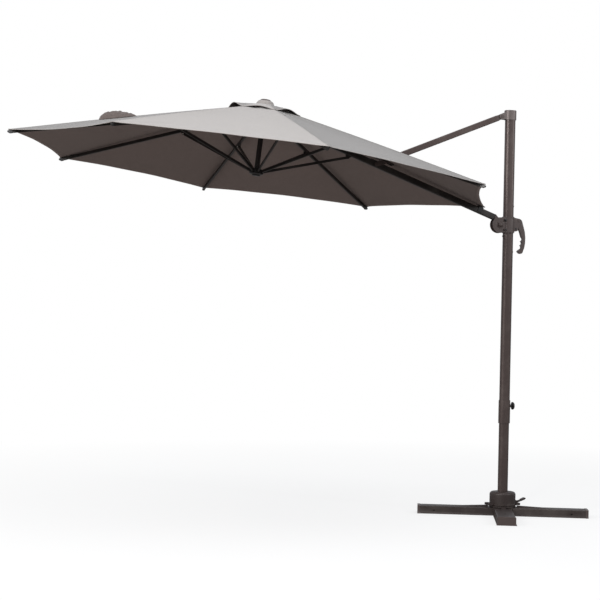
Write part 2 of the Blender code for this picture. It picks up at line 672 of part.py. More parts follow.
# ---------------------------------------------------------------- boom
def box_tube(width, height, wall, start, end):
    """Rectangular tube along -x from start to end, centred on y and z."""
    corner = 0.005
    outer = rounded_rectangle(width, height, corner, 3)
    inner = rounded_rectangle(width - 2 * wall, height - 2 * wall, corner - wall, 3)
    return tube(outer, inner, start, end, UP_TO_MINUS_X)


def strut_five():
    """Reach of the boom's strut bracket and the strut's length, so that it closes with the others."""
    closed = RIB_CLOSED

    def attach(angle, reach, drop):
        x = HINGE_RADIUS + reach * math.cos(angle) - drop * math.sin(angle)
        return x, hinge_z - reach * math.sin(angle) - drop * math.cos(angle)

    x, z = attach(rib_slope, STRUT_REACH, STRUT_DROP)
    length = math.hypot(x - RUNNER_PIVOT_RADIUS, z - RUNNER_PIVOT_Z)
    x, z = attach(closed, STRUT_REACH, STRUT_DROP)
    runner_closed = z - math.sqrt(length ** 2 - (x - RUNNER_PIVOT_RADIUS) ** 2)
    drop = hub_hinge_on_boom.z - BOOM_RAISE + BOOM_STRUT_DROP
    low, high = 0.3, 0.8
    for _ in range(60):
        reach = (low + high) / 2
        x, z = attach(rib_slope, reach, drop)
        open_length = math.hypot(x - RUNNER_PIVOT_RADIUS, z - RUNNER_PIVOT_Z)
        x, z = attach(closed, reach, drop)
        closed_length = math.hypot(x - RUNNER_PIVOT_RADIUS, z - runner_closed)
        if open_length < closed_length:
            low = reach
        else:
            high = reach
    return reach, open_length


def make_boom_tube(bracket_x):
    """Boom tube along -x, with the strut bracket under it."""
    end = -hub_hinge_on_boom.x - BOOM_END_GAP
    mesh = shifted(box_tube(BOOM_WIDTH, BOOM_HEIGHT, BOOM_WALL, BOOM_START, end), (0, 0, BOOM_RAISE))
    pivot_z = BOOM_RAISE - BOOM_STRUT_DROP
    low = BOOM_RAISE - BOOM_HEIGHT / 2
    cheeks = []
    for sign in (-1, 1):
        outline = arc(bracket_x, pivot_z, 0.009, 180, 360, 8)
        outline += [(bracket_x + 0.020, low + 0.001), (bracket_x - 0.020, low + 0.001)]
        cheeks.append(shifted(prism([outline], 0.004, UP_TO_Y), (0, sign * 0.0080, 0)))
    return combine(mesh, "UNION", cheeks)


def make_boom_knuckle():
    """Cast end of the boom: a lug on the slider's bolt and a plug inside the tube."""
    lug = arc(0, 0, 0.019, 75, -115, 12)
    mouth = BOOM_START - GAP
    low, high = BOOM_RAISE - BOOM_HEIGHT / 2, BOOM_RAISE + BOOM_HEIGHT / 2
    outline = [(-mouth, high)] + lug + [(-mouth, low)]
    mesh = prism([outline], 0.033, UP_TO_Y)
    inset = BOOM_WALL + PLUG_GAP
    plug = block((-0.13, -BOOM_WIDTH / 2 + inset, low + inset),
                 (-mouth + 0.006, BOOM_WIDTH / 2 - inset, high - inset))
    mesh = combine(mesh, "UNION", [plug])
    hole = rod(0.0068, (0, -0.03, 0), (0, 0.03, 0), 20)
    return combine(mesh, "DIFFERENCE", [hole])


def make_arm_bracket():
    """Saddle over the boom where the upper arm is pinned."""
    length, wall = 0.090, 0.0020
    half, top = BOOM_WIDTH / 2 + GAP, BOOM_HEIGHT / 2 + GAP
    skirt = -0.015
    outline = [(-half - wall, skirt), (-half, skirt), (-half, top), (half, top)]
    outline += [(half, skirt), (half + wall, skirt), (half + wall, top + wall), (-half - wall, top + wall)]
    mesh = prism([outline], length, UP_TO_X)
    return shifted(mesh, (-joint_along, 0, BOOM_RAISE))


def make_boom_tongue():
    """Boom's far end: a plug in the tube and a tongue hinged in the top hub."""
    end = hub_hinge_on_boom.x + BOOM_END_GAP
    high = BOOM_RAISE + BOOM_HEIGHT / 2
    low = BOOM_RAISE - BOOM_HEIGHT / 2
    eye = arc(hub_hinge_on_boom.x, hub_hinge_on_boom.z, 0.009, 95, 265, 8)
    outline = eye + [(hub_hinge_on_boom.x + 0.024, hub_hinge_on_boom.z - 0.009)]
    outline += [(end - GAP - 0.012, low + 0.004), (end - GAP, low), (end - GAP, high)]
    outline += [(end - GAP - 0.012, hub_hinge_on_boom.z + 0.009)]
    mesh = prism([outline], RIB_WIDTH, UP_TO_Y)
    collar = block((end - GAP - 0.012, -BOOM_WIDTH / 2, low), (end - GAP, BOOM_WIDTH / 2, high))
    inset = BOOM_WALL + PLUG_GAP
    plug = block((end - 0.006, -BOOM_WIDTH / 2 + inset, low + inset),
                 (end + 0.08, BOOM_WIDTH / 2 - inset, high - inset))
    return combine(mesh, "UNION", [collar, plug])


def build_boom():
    """Boom with its cast ends and saddle, and the strut that hangs from it."""
    reach, length = strut_five()
    bracket_x = hub_hinge_on_boom.x + reach
    piece("boom_tube", make_boom_tube(bracket_x), FRAME_DARK, boom_frame)
    piece("boom_knuckle", make_boom_knuckle(), PLASTIC, boom_frame)
    piece("arm_bracket", make_arm_bracket(), FRAME_DARK, boom_frame)
    piece("boom_tongue", make_boom_tongue(), FRAME_DARK, boom_frame)
    pivot = Vector((bracket_x, 0, BOOM_RAISE - BOOM_STRUT_DROP))
    strut_frame = empty("strut_5_frame", boom_frame, pivot)
    bpy.context.view_layer.update()
    runner_pivot = canopy_frame.matrix_world @ Vector((RUNNER_PIVOT_RADIUS, 0, RUNNER_PIVOT_Z))
    aim = boom_frame.matrix_world.inverted() @ runner_pivot - pivot
    strut_frame.rotation_euler = (0, math.atan2(-aim.z, aim.x), 0)
    piece("strut_5", make_strut(length), FRAME_DARK, strut_frame)


# ---------------------------------------------------------------- upper arm
def make_arm_tube():
    """Upper arm's tube between its knuckle and its fork."""
    return box_tube(ARM_WIDTH, ARM_HEIGHT, BOOM_WALL, ARM_START, arm_length - FORK_LENGTH)


def make_arm_knuckle():
    """Cast end of the upper arm that turns between the mast cap's ears, with its pin."""
    mouth = ARM_START - GAP
    half, eye = ARM_HEIGHT / 2, 0.0155
    outline = [(-mouth, half), (-0.012, eye)] + arc(0, 0, eye, 90, -90, 8) + [(-0.012, -eye), (-mouth, -half)]
    mesh = prism([outline], 0.0246, UP_TO_Y)
    inset = BOOM_WALL + PLUG_GAP
    plug = block((-0.10, -ARM_WIDTH / 2 + inset, -half + inset),
                 (-mouth + 0.006, ARM_WIDTH / 2 - inset, half - inset))
    pin = rod(0.0048, (0, -0.0225, 0), (0, 0.0225, 0), 16)
    heads = [rod(0.0085, (0, y0, 0), (0, y1, 0), 16) for y0, y1 in ((-0.0245, -0.0205), (0.0205, 0.0245))]
    return combine(mesh, "UNION", [plug, pin] + heads)


def make_arm_fork():
    """Fork on the upper arm's low end: two cheeks astride the boom with a bolt in each."""
    start, end = arm_length - FORK_LENGTH + GAP, arm_length
    outer_y, inner_y = 0.0215, 0.0182
    half, neck = ARM_HEIGHT / 2, -start - 0.030
    cheek = [(neck, half), (-start, half), (-start, -half), (neck, -half)]
    cheek += arc(-end, 0, 0.0150, -90, -270, 10)
    mesh = prism([cheek], 2 * outer_y, UP_TO_Y)
    throat = block((-end - 0.05, -inner_y, -0.05), (-start - 0.018, inner_y, 0.05))
    mesh = combine(mesh, "DIFFERENCE", [throat])
    inset = BOOM_WALL + PLUG_GAP
    plug = block((-start - 0.006, -ARM_WIDTH / 2 + inset, -half + inset),
                 (-start + 0.07, ARM_WIDTH / 2 - inset, half - inset))
    extra = [plug]
    bolt_end = BOOM_WIDTH / 2 + GAP + 0.0024
    for sign in (-1, 1):
        head_low, head_high = sign * (outer_y - 0.001), sign * (outer_y + 0.005)
        extra.append(rod(0.0095, (-end, head_low, 0), (-end, head_high, 0), 15))
        extra.append(rod(0.0050, (-end, sign * (inner_y + 0.001), 0), (-end, sign * bolt_end, 0), 9))
    return combine(mesh, "UNION", extra)


def build_upper_arm():
    """Upper arm from the mast cap to the boom."""
    piece("arm_knuckle", make_arm_knuckle(), PLASTIC, arm_frame)
    piece("arm_tube", make_arm_tube(), BRONZE, arm_frame)
    piece("arm_fork", make_arm_fork(), PLASTIC, arm_frame)


# ---------------------------------------------------------------- head: hub, tube, cloths
def make_top_hub():
    """Slotted hub that the ribs and the boom hinge in."""
    low, high = hinge_z - 0.013, hinge_z + 0.012
    profile = [(0, high + 0.010), (0.020, high + 0.010), (0.020, high), (0.062, high), (0.068, high - 0.004),
               (0.068, low + 0.003), (0.065, low), (0, low)]
    mesh = turned(profile, 24)
    slots = []
    for number in range(CANOPY_SIDES):
        slot = block((HINGE_RADIUS - 0.0125, -RIB_WIDTH / 2 - 0.0008, low - 0.01),
                     (0.09, RIB_WIDTH / 2 + 0.0008, high + 0.005))
        slot.transform(Matrix.Rotation(2 * math.pi * number / CANOPY_SIDES, 4, "Z"))
        slots.append(slot)
    return combine(mesh, "DIFFERENCE", slots)


def make_runner():
    """Lower hub with eight open slots for the struts and a ring at the bottom."""
    z = RUNNER_PIVOT_Z
    bore, wide, ring = 0.0178, 0.0425, 0.024
    profile = [(bore, z + 0.016), (0.030, z + 0.016), (wide - 0.001, z + 0.010), (wide, z + 0.004)]
    profile += [(wide, z - 0.014), (0.036, z - 0.019), (ring, z - 0.021), (ring, z - 0.027)]
    profile += [(0, z - 0.027), (0, z - 0.012), (bore, z - 0.012), (bore, z + 0.016)]
    mesh = turned(profile, 24)
    slots = []
    for number in range(CANOPY_SIDES):
        slot = block((RUNNER_PIVOT_RADIUS - 0.0095, -RUNNER_SLOT_HALF, z - 0.0125),
                     (0.08, RUNNER_SLOT_HALF, z + 0.03))
        slot.transform(Matrix.Rotation(2 * math.pi * number / CANOPY_SIDES, 4, "Z"))
        slots.append(slot)
    return combine(mesh, "DIFFERENCE", slots)


def make_finial():
    """Low blunt cone on top with a screw that goes down through the cloths into the hub."""
    low, high = VENT_APEX + 0.0015, VENT_APEX + 0.030
    radius, shaft, end = FINIAL_RADIUS, 0.0065, hinge_z + 0.0228
    profile = dome(FINIAL_TOP_RADIUS, high - 0.006, 0.006) + [(radius, low + 0.006), (radius, low)]
    profile += [(shaft, low), (shaft, end), (0, end)]
    return turned(profile, 24)


def make_centre_tube():
    """Tube under the hub that the runner slides on."""
    steps = 24
    outer = arc(0, 0, CENTRE_TUBE_RADIUS, 0, 360, steps)[:-1]
    inner = arc(0, 0, CENTRE_TUBE_RADIUS - CENTRE_TUBE_WALL, 0, 360, steps)[:-1]
    return tube(outer, inner, 0.0, hinge_z - 0.0135)


def cloth_sheet(rings, per_side, radius, height, scallop, sag, lift=0.0):
    """Open eight-sided cloth: rings are fractions of the radius, height gives a rib's z at each."""
    shape = bmesh.new()
    rows = []
    half_side = math.pi / CANOPY_SIDES
    count = CANOPY_SIDES * per_side
    for fraction in rings:
        row = []
        for i in range(count):
            azimuth = 2 * math.pi * i / count
            within = (azimuth % (2 * half_side)) / (2 * half_side)
            from_middle = azimuth % (2 * half_side) - half_side
            chord = math.cos(half_side) / math.cos(from_middle)
            bow = math.sin(math.pi * within) ** 2
            reach = radius * fraction * chord - scallop * bow * fraction ** 3
            drop = sag * bow * math.sin(math.pi * fraction) - lift * bow * fraction ** 2
            corner = (reach * math.cos(azimuth), reach * math.sin(azimuth), height(fraction) - drop)
            row.append(shape.verts.new(corner))
        rows.append(row)
    for inner, outer in zip(rows, rows[1:]):
        for i in range(count):
            j = (i + 1) % count
            shape.faces.new((inner[i], outer[i], outer[j], inner[j]))
    mesh = bpy.data.meshes.new("cloth")
    shape.to_mesh(mesh)
    shape.free()
    return mesh


def solidified(mesh, thickness):
    """The open surface made a closed skin below it."""
    holder = bpy.data.objects.new("skin", mesh)
    bpy.context.scene.collection.objects.link(holder)
    solid = holder.modifiers.new("Solidify", "SOLIDIFY")
    solid.thickness = thickness
    solid.offset = -1
    return evaluated(holder)


def canopy_height(fraction):
    """Height of the main cloth over a rib, at a fraction of the canopy's radius."""
    return (APEX_RISE + CLOTH_CROWN + 4 * CLOTH_BOW * fraction) * (1 - fraction)


def make_canopy():
    """Main cloth: eight panels, a vent opening and a slit that the upper arm passes through."""
    first = VENT_OPENING / CANOPY_RADIUS
    rings = [first + (1 - first) * i / 4 for i in range(5)]
    sheet = cloth_sheet(rings, 4, CANOPY_RADIUS, canopy_height, HEM_SCALLOP, PANEL_SAG)
    mesh = solidified(sheet, CLOTH)
    joint = canopy_frame.matrix_world.inverted() @ Vector((joint_x, 0, joint_z))
    middle = joint.x + SLIT_SHIFT
    slit = block((middle - SLIT_LENGTH / 2, -SLIT_WIDTH / 2, 0),
                 (middle + SLIT_LENGTH / 2, SLIT_WIDTH / 2, 0.5))
    return combine(mesh, "DIFFERENCE", [slit])


def make_vent_cap():
    """Small raised cloth over the vent opening."""
    rings = [0.05, 0.4, 0.75, 1.0]
    fall = VENT_APEX - VENT_RIM
    sheet = cloth_sheet(rings, 4, VENT_RADIUS, lambda f: VENT_APEX - fall * f ** 1.4, 0.01, 0.0, VENT_LIFT)
    return solidified(sheet, CLOTH)


def build_head():
    """Hub, tube, runner and finial with the two cloths."""
    piece("top_hub", make_top_hub(), BLACK, canopy_frame)
    piece("centre_tube", make_centre_tube(), FRAME_DARK, canopy_frame)
    piece("runner", make_runner(), BLACK, canopy_frame)
    piece("finial", make_finial(), PLASTIC, canopy_frame)
    piece("canopy", make_canopy(), FABRIC, canopy_frame)
    piece("vent_cap", make_vent_cap(), FABRIC, canopy_frame)


# ---------------------------------------------------------------- ribs and struts
def make_rib():
    """Rib along x from its hinge eye, hollow, with a strut bracket under it."""
    half = RIB_HEIGHT / 2
    outline = arc(0, 0, 0.0085, 90, 270, 8)
    outline += [(0.016, -half), (rib_length, -half), (rib_length, half), (0.016, half)]
    mesh = prism([outline], RIB_WIDTH, UP_TO_Y)
    bracket = arc(STRUT_REACH, -STRUT_DROP, 0.0085, 180, 360, 8)
    bracket += [(STRUT_REACH + 0.018, -half + 0.003), (STRUT_REACH - 0.018, -half + 0.003)]
    mesh = combine(mesh, "UNION", [prism([bracket], 0.0170, UP_TO_Y)])
    pocket = block((0.08, -RIB_WIDTH / 2 + RIB_WALL, -half + RIB_WALL),
                   (rib_length + 0.02, RIB_WIDTH / 2 - RIB_WALL, half - RIB_WALL))
    throat = block((STRUT_REACH - 0.04, -STRUT_WIDTH / 2 - 0.0006, -0.06),
                   (STRUT_REACH + 0.04, STRUT_WIDTH / 2 + 0.0006, -half - GAP))
    return combine(mesh, "DIFFERENCE", [pocket, throat])


def make_strut(length):
    """Strut along x with a round eye at each end."""
    half = STRUT_HEIGHT / 2
    near = arc(0, 0, 0.0070, 90, 270, 8)
    far = arc(length, 0, 0.0070, -90, 90, 8)
    outline = near + [(0.014, -half), (length - 0.014, -half)] + far + [(length - 0.014, half), (0.014, half)]
    return prism([outline], STRUT_WIDTH, UP_TO_Y)


def make_rib_tip():
    """Plastic end in the rib's mouth that holds the cloth's pocket, with a raised nose."""
    half = RIB_HEIGHT / 2
    outline = [(GAP, -half - 0.001), (0.016, -half - 0.001), (RIB_TIP_LENGTH, -0.002)]
    outline += [(RIB_TIP_LENGTH, 0.006), (0.022, half - 0.001), (GAP, half)]
    mesh = prism([outline], RIB_WIDTH + 0.002, UP_TO_Y)
    inset = RIB_WALL + 0.0005
    plug = block((-0.030, -RIB_WIDTH / 2 + inset, -half + inset),
                 (0.004, RIB_WIDTH / 2 - inset, half - inset))
    return combine(mesh, "UNION", [plug])


def make_boom_rib_tip():
    """Clip on the boom that holds the cloth's mast-side pocket."""
    half, wall, low = BOOM_WIDTH / 2 + GAP, 0.0025, BOOM_HEIGHT / 2 + GAP
    side = [(0, 0), (0.036, 0), (0.036, 0.004), (0.020, 0.009), (0, 0.009)]
    top = shifted(prism([side], 2 * (half + wall), UP_TO_Y), (0, 0, low))
    walls = [block((0.002, y - wall / 2, -0.010), (0.034, y + wall / 2, low + 0.003))
             for y in (-half - wall / 2, half + wall / 2)]
    return combine(top, "UNION", walls)


def build_ribs():
    """Seven hinged ribs with their struts and ends, and the clip on the boom."""
    rib, tip = make_rib(), make_rib_tip()
    attach = Vector((STRUT_REACH, 0, -STRUT_DROP))
    x = HINGE_RADIUS + attach.x * math.cos(rib_slope) + attach.z * math.sin(rib_slope)
    z = hinge_z - attach.x * math.sin(rib_slope) + attach.z * math.cos(rib_slope)
    length = math.hypot(x - RUNNER_PIVOT_RADIUS, z - RUNNER_PIVOT_Z)
    strut = make_strut(length)
    strut_turn = math.atan2(z - RUNNER_PIVOT_Z, RUNNER_PIVOT_RADIUS - x) - rib_slope
    for number in RIB_NUMBERS:
        azimuth = side_azimuth(number)
        hinge = (HINGE_RADIUS * math.cos(azimuth), HINGE_RADIUS * math.sin(azimuth), hinge_z)
        rib_frame = empty(f"rib_{number}_frame", canopy_frame, hinge, (0, rib_slope, azimuth))
        piece(f"rib_{number}", rib, FRAME_DARK, rib_frame)
        piece(f"rib_tip_{number}", tip, BLACK, rib_frame, (rib_length, 0, 0))
        strut_frame = empty(f"strut_{number}_frame", rib_frame, attach, (0, strut_turn, 0))
        piece(f"strut_{number}", strut, FRAME_DARK, strut_frame)
    clip_place = (BOOM_TIP_CLIP_X, 0, BOOM_RAISE)
    piece(f"rib_tip_{BOOM_SIDE}", make_boom_rib_tip(), BLACK, boom_frame, clip_place)


build_base()
build_mast()
build_slider()
build_boom()
build_upper_arm()
build_head()
build_ribs()
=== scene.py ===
"""Looks of the cantilever parasol: its cloths, hardware, finishes, studio and camera, round the CAD frame."""

import json
import math

import bmesh
import bpy
import numpy as np
from mathutils import Matrix, Vector


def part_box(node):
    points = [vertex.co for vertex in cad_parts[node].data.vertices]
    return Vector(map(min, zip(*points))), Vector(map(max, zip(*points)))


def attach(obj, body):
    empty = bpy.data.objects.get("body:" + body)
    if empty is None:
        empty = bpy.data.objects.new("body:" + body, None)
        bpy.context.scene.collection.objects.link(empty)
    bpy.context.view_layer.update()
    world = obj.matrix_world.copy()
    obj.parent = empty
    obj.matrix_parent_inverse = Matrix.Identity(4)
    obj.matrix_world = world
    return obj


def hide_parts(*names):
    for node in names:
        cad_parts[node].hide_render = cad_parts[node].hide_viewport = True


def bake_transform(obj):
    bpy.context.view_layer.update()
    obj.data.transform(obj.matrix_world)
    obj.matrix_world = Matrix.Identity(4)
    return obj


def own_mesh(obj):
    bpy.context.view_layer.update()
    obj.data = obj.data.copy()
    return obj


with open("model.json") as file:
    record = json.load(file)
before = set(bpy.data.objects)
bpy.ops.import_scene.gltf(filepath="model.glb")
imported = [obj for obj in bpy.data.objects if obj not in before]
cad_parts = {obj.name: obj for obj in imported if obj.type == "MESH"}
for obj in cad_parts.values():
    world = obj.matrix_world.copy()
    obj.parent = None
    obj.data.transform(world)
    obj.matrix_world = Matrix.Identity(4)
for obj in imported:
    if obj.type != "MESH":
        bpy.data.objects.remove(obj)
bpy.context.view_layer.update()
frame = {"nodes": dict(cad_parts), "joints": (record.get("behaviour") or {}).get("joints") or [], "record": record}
joints = {joint["name"]: joint for joint in frame["joints"]}

# ---------------------------------------------------------------- driving dimensions, metres
SIDES = 8
BOOM_SIDE = 5
PANEL_ANGLE = 2 * math.pi / SIDES
HALF_CHORD = math.sin(math.pi / SIDES)  # of a panel whose corners are 1 from the axis
APOTHEM = math.cos(math.pi / SIDES)  # from the axis to the middle of that panel's straight edge
RADIUS = 1.5  # canopy, to its corners
RISE = 0.375  # of the cloth from corner to apex, along the axis
APEX = 0.02715  # cloth's apex above the plane of the rib hinges
CROWN = 0.028  # the cloth's cone stands this far above the ribs' cone at the axis
BOW = 0.007  # and this much above a straight line halfway out
OPENING = 0.17  # vent opening, along a rib
SCALLOP = 0.032  # hems curve in by this much between corners
SAG = 0.012  # of a panel between its ribs
HEM_DROOP = (0, 0, 0, 0, 0.018, 0, 0, 0)  # the hem that hangs slackest, by its panel's mid azimuth
HEM_LIFT = SCALLOP * RISE / (RADIUS * APOTHEM)  # keeps a scalloped hem in its panel's plane
CROSS_FALL = 0.111  # how fast the panels fall away beside a rib
PANEL_PAINTED_SHADE = (0.88, 0.96, 0.92, 0.88, 0.50, 1.01, 0.44, 0.70)  # painted light and shade on each panel, by its mid azimuth, for how the light falls on it
CLOTH = 0.0013  # thickness
STEP = 0.0012  # slope at the edge of a raised layer
TINY = 1e-6  # tolerance where rows and columns are compared with a width
SEAM_HALF = 0.0065
SEAM_RISE = 0.0009
HEM_WIDTH = 0.026
HEM_RISE = 0.0006
INNER_HEM = 0.016  # round the vent opening
PATCH_RISE = 0.0016
SLIT_REACH = (-0.058, 0.1095)  # opening for the upper arm, along the boom's seam from the arm's bolt
SLIT_HALF = 0.0245
FACING = 0.013  # depth of the cloth that hangs from the slit's edges
WELT = 0.014
WELT_RISE = 0.0011
PATCH = 0.075  # cloth patch over each corner, along the rib
LOBE = 0.007  # each corner reaches this far over its rib's end
LOBE_HALF = 0.020

VENT_RADIUS = 0.25
VENT_APEX = 0.0572
VENT_FALL = 0.0613
VENT_CURVE = 1.4
VENT_HEM = 0.018
VENT_CROWN = 0.076  # radius inside which the vent cloth belongs to the hub
VENT_CORNER = (0.25, 0.236, 0.25, 0.25, 0.225, 0.25, 0.25, 0.25)  # hem corners, by the rib's azimuth
VENT_LIFT = (0.020, 0.026, 0.022, 0.026, 0.033, 0.014, 0.024, 0.014)  # hem arches, by the panel's azimuth
VENT_PEAK = (0.50, 0.45, 0.55, 0.50, 0.30, 0.50, 0.60, 0.50)  # where along the panel each arch is highest
FINIAL_TOP = VENT_APEX + 0.030


# ---------------------------------------------------------------- canopy frame, from the rib hinges
hinges = [Vector(joints["canopy_fold"]["pos_m"])]
hinges += [Vector(joints[f"rib_{n}_fold"]["pos_m"]) for n in range(1, SIDES + 1) if n != BOOM_SIDE]
hub_centre = sum(hinges, Vector()) / SIDES
toward_mast = (hinges[0] - hub_centre).normalized()
across = Vector((0, 1, 0))
axis_up = toward_mast.cross(across)
CANOPY = Matrix.Translation(hub_centre) @ Matrix((toward_mast, across, axis_up)).transposed().to_4x4()
CANOPY_AXES = np.array(CANOPY.to_3x3())
CANOPY_PLACE = np.array(hub_centre)
arm_bolt = (CANOPY.inverted() @ Vector(joints["boom_swing"]["pos_m"])).x
SLIT = (arm_bolt + SLIT_REACH[0], arm_bolt + SLIT_REACH[1])  # along the boom's seam, from the axis


def to_row(points):
    """Canopy coordinates to the row frame, for an array whose last axis is x, y, z."""
    return points @ CANOPY_AXES.T + CANOPY_PLACE


def body_of_side(number):
    return "boom" if number == BOOM_SIDE else f"rib_{number}"


# ---------------------------------------------------------------- node materials
class Finish:
    """A Principled material and short ways to add nodes to it."""

    def __init__(self, name):
        self.material = bpy.data.materials.new(name)
        self.material.use_nodes = True
        self.tree = self.material.node_tree
        self.shader = self.tree.nodes["Principled BSDF"]

    def node(self, kind, inputs=None, **settings):
        made = self.tree.nodes.new(kind)
        for key, value in settings.items():
            setattr(made, key, value)
        for key, value in (inputs or {}).items():
            self.feed(made.inputs[key], value)
        return made

    def feed(self, socket, value):
        """A socket takes a node's output, a colour or a number."""
        if isinstance(value, bpy.types.NodeSocket):
            self.tree.links.new(value, socket)
        elif isinstance(value, tuple) and len(value) == 3 and socket.type == "RGBA":
            socket.default_value = (*value, 1.0)
        else:
            socket.default_value = value

    def maths(self, operation, *values):
        made = self.tree.nodes.new("ShaderNodeMath")
        made.operation = operation
        for socket, value in zip(made.inputs, values):
            self.feed(socket, value)
        return made.outputs[0]

    def noise(self, scale, detail=3.0, roughness=0.5, vector=None, stretch=None):
        vector = vector or self.node("ShaderNodeTexCoord").outputs["Object"]
        if stretch:
            vector = self.node("ShaderNodeMapping", {"Vector": vector, "Scale": stretch}).outputs[0]
        settings = {"Vector": vector, "Scale": scale, "Detail": detail, "Roughness": roughness}
        return self.node("ShaderNodeTexNoise", settings).outputs["Fac"]

    def ramp(self, value, low, high, out_low=0.0, out_high=1.0):
        limits = {"Value": value, "From Min": low, "From Max": high, "To Min": out_low, "To Max": out_high}
        return self.node("ShaderNodeMapRange", limits).outputs[0]

    def mix(self, share, first, second, blend="MIX"):
        made = self.node("ShaderNodeMix", data_type="RGBA", blend_type=blend)
        self.feed(made.inputs[0], share)
        self.feed(made.inputs[6], first)
        self.feed(made.inputs[7], second)
        return made.outputs[2]

    def bump(self, height, distance, strength=1.0, after=None):
        inputs = {"Height": height, "Distance": distance, "Strength": strength}
        if after:
            inputs["Normal"] = after
        return self.node("ShaderNodeBump", inputs).outputs[0]

    def grey(self, value):
        """The same value in all three channels."""
        return self.node("ShaderNodeCombineXYZ", {0: value, 1: value, 2: value}).outputs[0]

    def uv(self, layer):
        """The two coordinates of a UV layer."""
        place = self.node("ShaderNodeUVMap", uv_map=layer).outputs[0]
        return self.node("ShaderNodeSeparateXYZ", {0: place}).outputs

    def edges(self, low, high, amount):
        """The amount on sharp convex edges, and 0 on faces."""
        sharpness = self.node("ShaderNodeNewGeometry").outputs["Pointiness"]
        return self.ramp(sharpness, low, high, 0.0, amount)

    def shade(self, **inputs):
        for key, value in inputs.items():
            self.feed(self.shader.inputs[key.replace("_", " ")], value)
        return self.material


def tint(colour, share, lift=0.0):
    """A lighter or darker version of a colour."""
    return tuple(min(1.0, share * part + lift) for part in colour)


THREAD_HALF = 0.0006  # of the sewing thread's width
STITCH_PITCH = 0.0052
STITCH_SHARE = 0.68  # of the pitch; the rest is the gap
SEAM_STITCH = 0.0042  # beside a seam's middle
HEM_STITCHES = (0.0030, 0.0230)  # from the hem's edge


def stitches(finish, line, offset):
    """Stitches at an offset from a seam or hem, whose UV is distance and place along it: 1 on the thread."""
    near = finish.maths("ABSOLUTE", finish.maths("SUBTRACT", line[0], offset))
    on_row = finish.maths("LESS_THAN", near, THREAD_HALF)
    beat = finish.maths("FRACT", finish.maths("DIVIDE", line[1], STITCH_PITCH))
    return finish.maths("MULTIPLY", on_row, finish.maths("LESS_THAN", beat, STITCH_SHARE))


def make_cloth(name, colour, roughness, sheen, weave_depth):
    """Woven polyester: threads, slubs, faint blotches, painted light and shade per panel, stitched seams and hems
    with a painted highlight along the hem.
    """
    made = Finish(name)
    threads = made.node("ShaderNodeUVMap", uv_map="threads").outputs[0]
    wave = {"Vector": threads, "Scale": 250.0, "Distortion": 0.4, "Detail": 1.0, "Detail Scale": 60.0}
    warp, weft = (made.node("ShaderNodeTexWave", wave, bands_direction=way).outputs["Fac"] for way in "XY")
    weave = made.maths("MAXIMUM", warp, weft)
    slub_u = made.noise(1.0, 2.0, 0.6, threads, (18.0, 520.0, 1.0))
    slub_v = made.noise(1.0, 2.0, 0.6, threads, (520.0, 18.0, 1.0))
    slubs = made.maths("ADD", slub_u, slub_v)
    blotch = made.noise(2.2, 4.0, 0.55)
    # painted light and shade of each panel, read from a face attribute
    painted_shade = made.node("ShaderNodeAttribute", attribute_name="painted_shade").outputs["Fac"]

    seam, hem = made.uv("seam"), made.uv("hem")
    rows = stitches(made, seam, SEAM_STITCH)
    for offset in HEM_STITCHES:
        rows = made.maths("MAXIMUM", rows, stitches(made, hem, offset))
    pucker = made.maths("SINE", made.maths("MULTIPLY", seam[1], 290.0))
    close = made.ramp(seam[0], 0.005, 0.030, 1.0, 0.0)
    pucker = made.maths("MULTIPLY", pucker, made.maths("MULTIPLY", close, made.noise(26.0, 2.0)))

    dye_and_painted_shading = made.mix(made.ramp(slubs, 0.7, 1.3), tint(colour, 0.84), tint(colour, 1.16))
    dye_and_painted_shading = made.mix(made.ramp(blotch, 0.3, 0.7, 0.0, 0.35), dye_and_painted_shading, tint(colour, 0.9))
    dye_and_painted_shading = made.mix(1.0, dye_and_painted_shading, made.grey(made.ramp(weave, 0.35, 0.9, 0.86, 1.0)), "MULTIPLY")
    # painted light and shade: each panel's colour is scaled by its factor
    dye_and_painted_shading = made.mix(1.0, dye_and_painted_shading, made.grey(painted_shade), "MULTIPLY")
    # painted highlight: the cloth's colour is lighter in a band along the hem's edge
    dye_and_painted_shading = made.mix(made.ramp(hem[0], 0.004, 0.020, 0.55, 0.0), dye_and_painted_shading, tint(colour, 1.3))
    dye_and_painted_shading = made.mix(made.maths("MULTIPLY", rows, 0.6), dye_and_painted_shading, tint(colour, 0.55))

    normal = made.bump(pucker, 0.0012)
    normal = made.bump(weave, weave_depth, 0.5, normal)
    normal = made.bump(rows, 0.0004, 0.8, normal)
    rough = made.ramp(slubs, 0.6, 1.4, roughness + 0.05, roughness - 0.05)
    return made.shade(Base_Color=dye_and_painted_shading, Roughness=rough, Sheen_Weight=sheen, Sheen_Roughness=0.5, Normal=normal,
                      Specular_IOR_Level=0.25)


def make_paint(name, colour, roughness, metallic, grain=900.0, worn=0.25):
    """Powder coat: orange peel, fine flakes, soft dust and rubbed edges."""
    made = Finish(name)
    peel = made.noise(grain, 2.0, 0.5)
    flake = made.noise(grain * 4.5, 1.0, 0.5)
    dust = made.noise(5.0, 5.0, 0.6)
    streak = made.noise(3.0, 4.0, 0.6, None, (22.0, 22.0, 1.2))
    edge = made.maths("MULTIPLY", made.edges(0.52, 0.60, worn), made.ramp(made.noise(60.0, 4.0), 0.42, 0.62))
    base = made.mix(made.ramp(flake, 0.45, 0.75, 0.0, 0.5), colour, tint(colour, 1.5))
    base = made.mix(made.ramp(streak, 0.4, 0.7, 0.0, 0.25), base, tint(colour, 0.75))
    base = made.mix(made.ramp(dust, 0.5, 0.8, 0.0, 0.12), base, (0.42, 0.38, 0.34))
    base = made.mix(edge, base, tint(colour, 2.6, 0.03))
    rough = made.maths("ADD", made.ramp(dust, 0.35, 0.75, roughness - 0.05, roughness + 0.10),
                       made.ramp(peel, 0.3, 0.7, -0.02, 0.02))
    normal = made.bump(peel, 0.00018, 0.45)
    return made.shade(Base_Color=base, Roughness=rough, Metallic=metallic, Normal=normal)


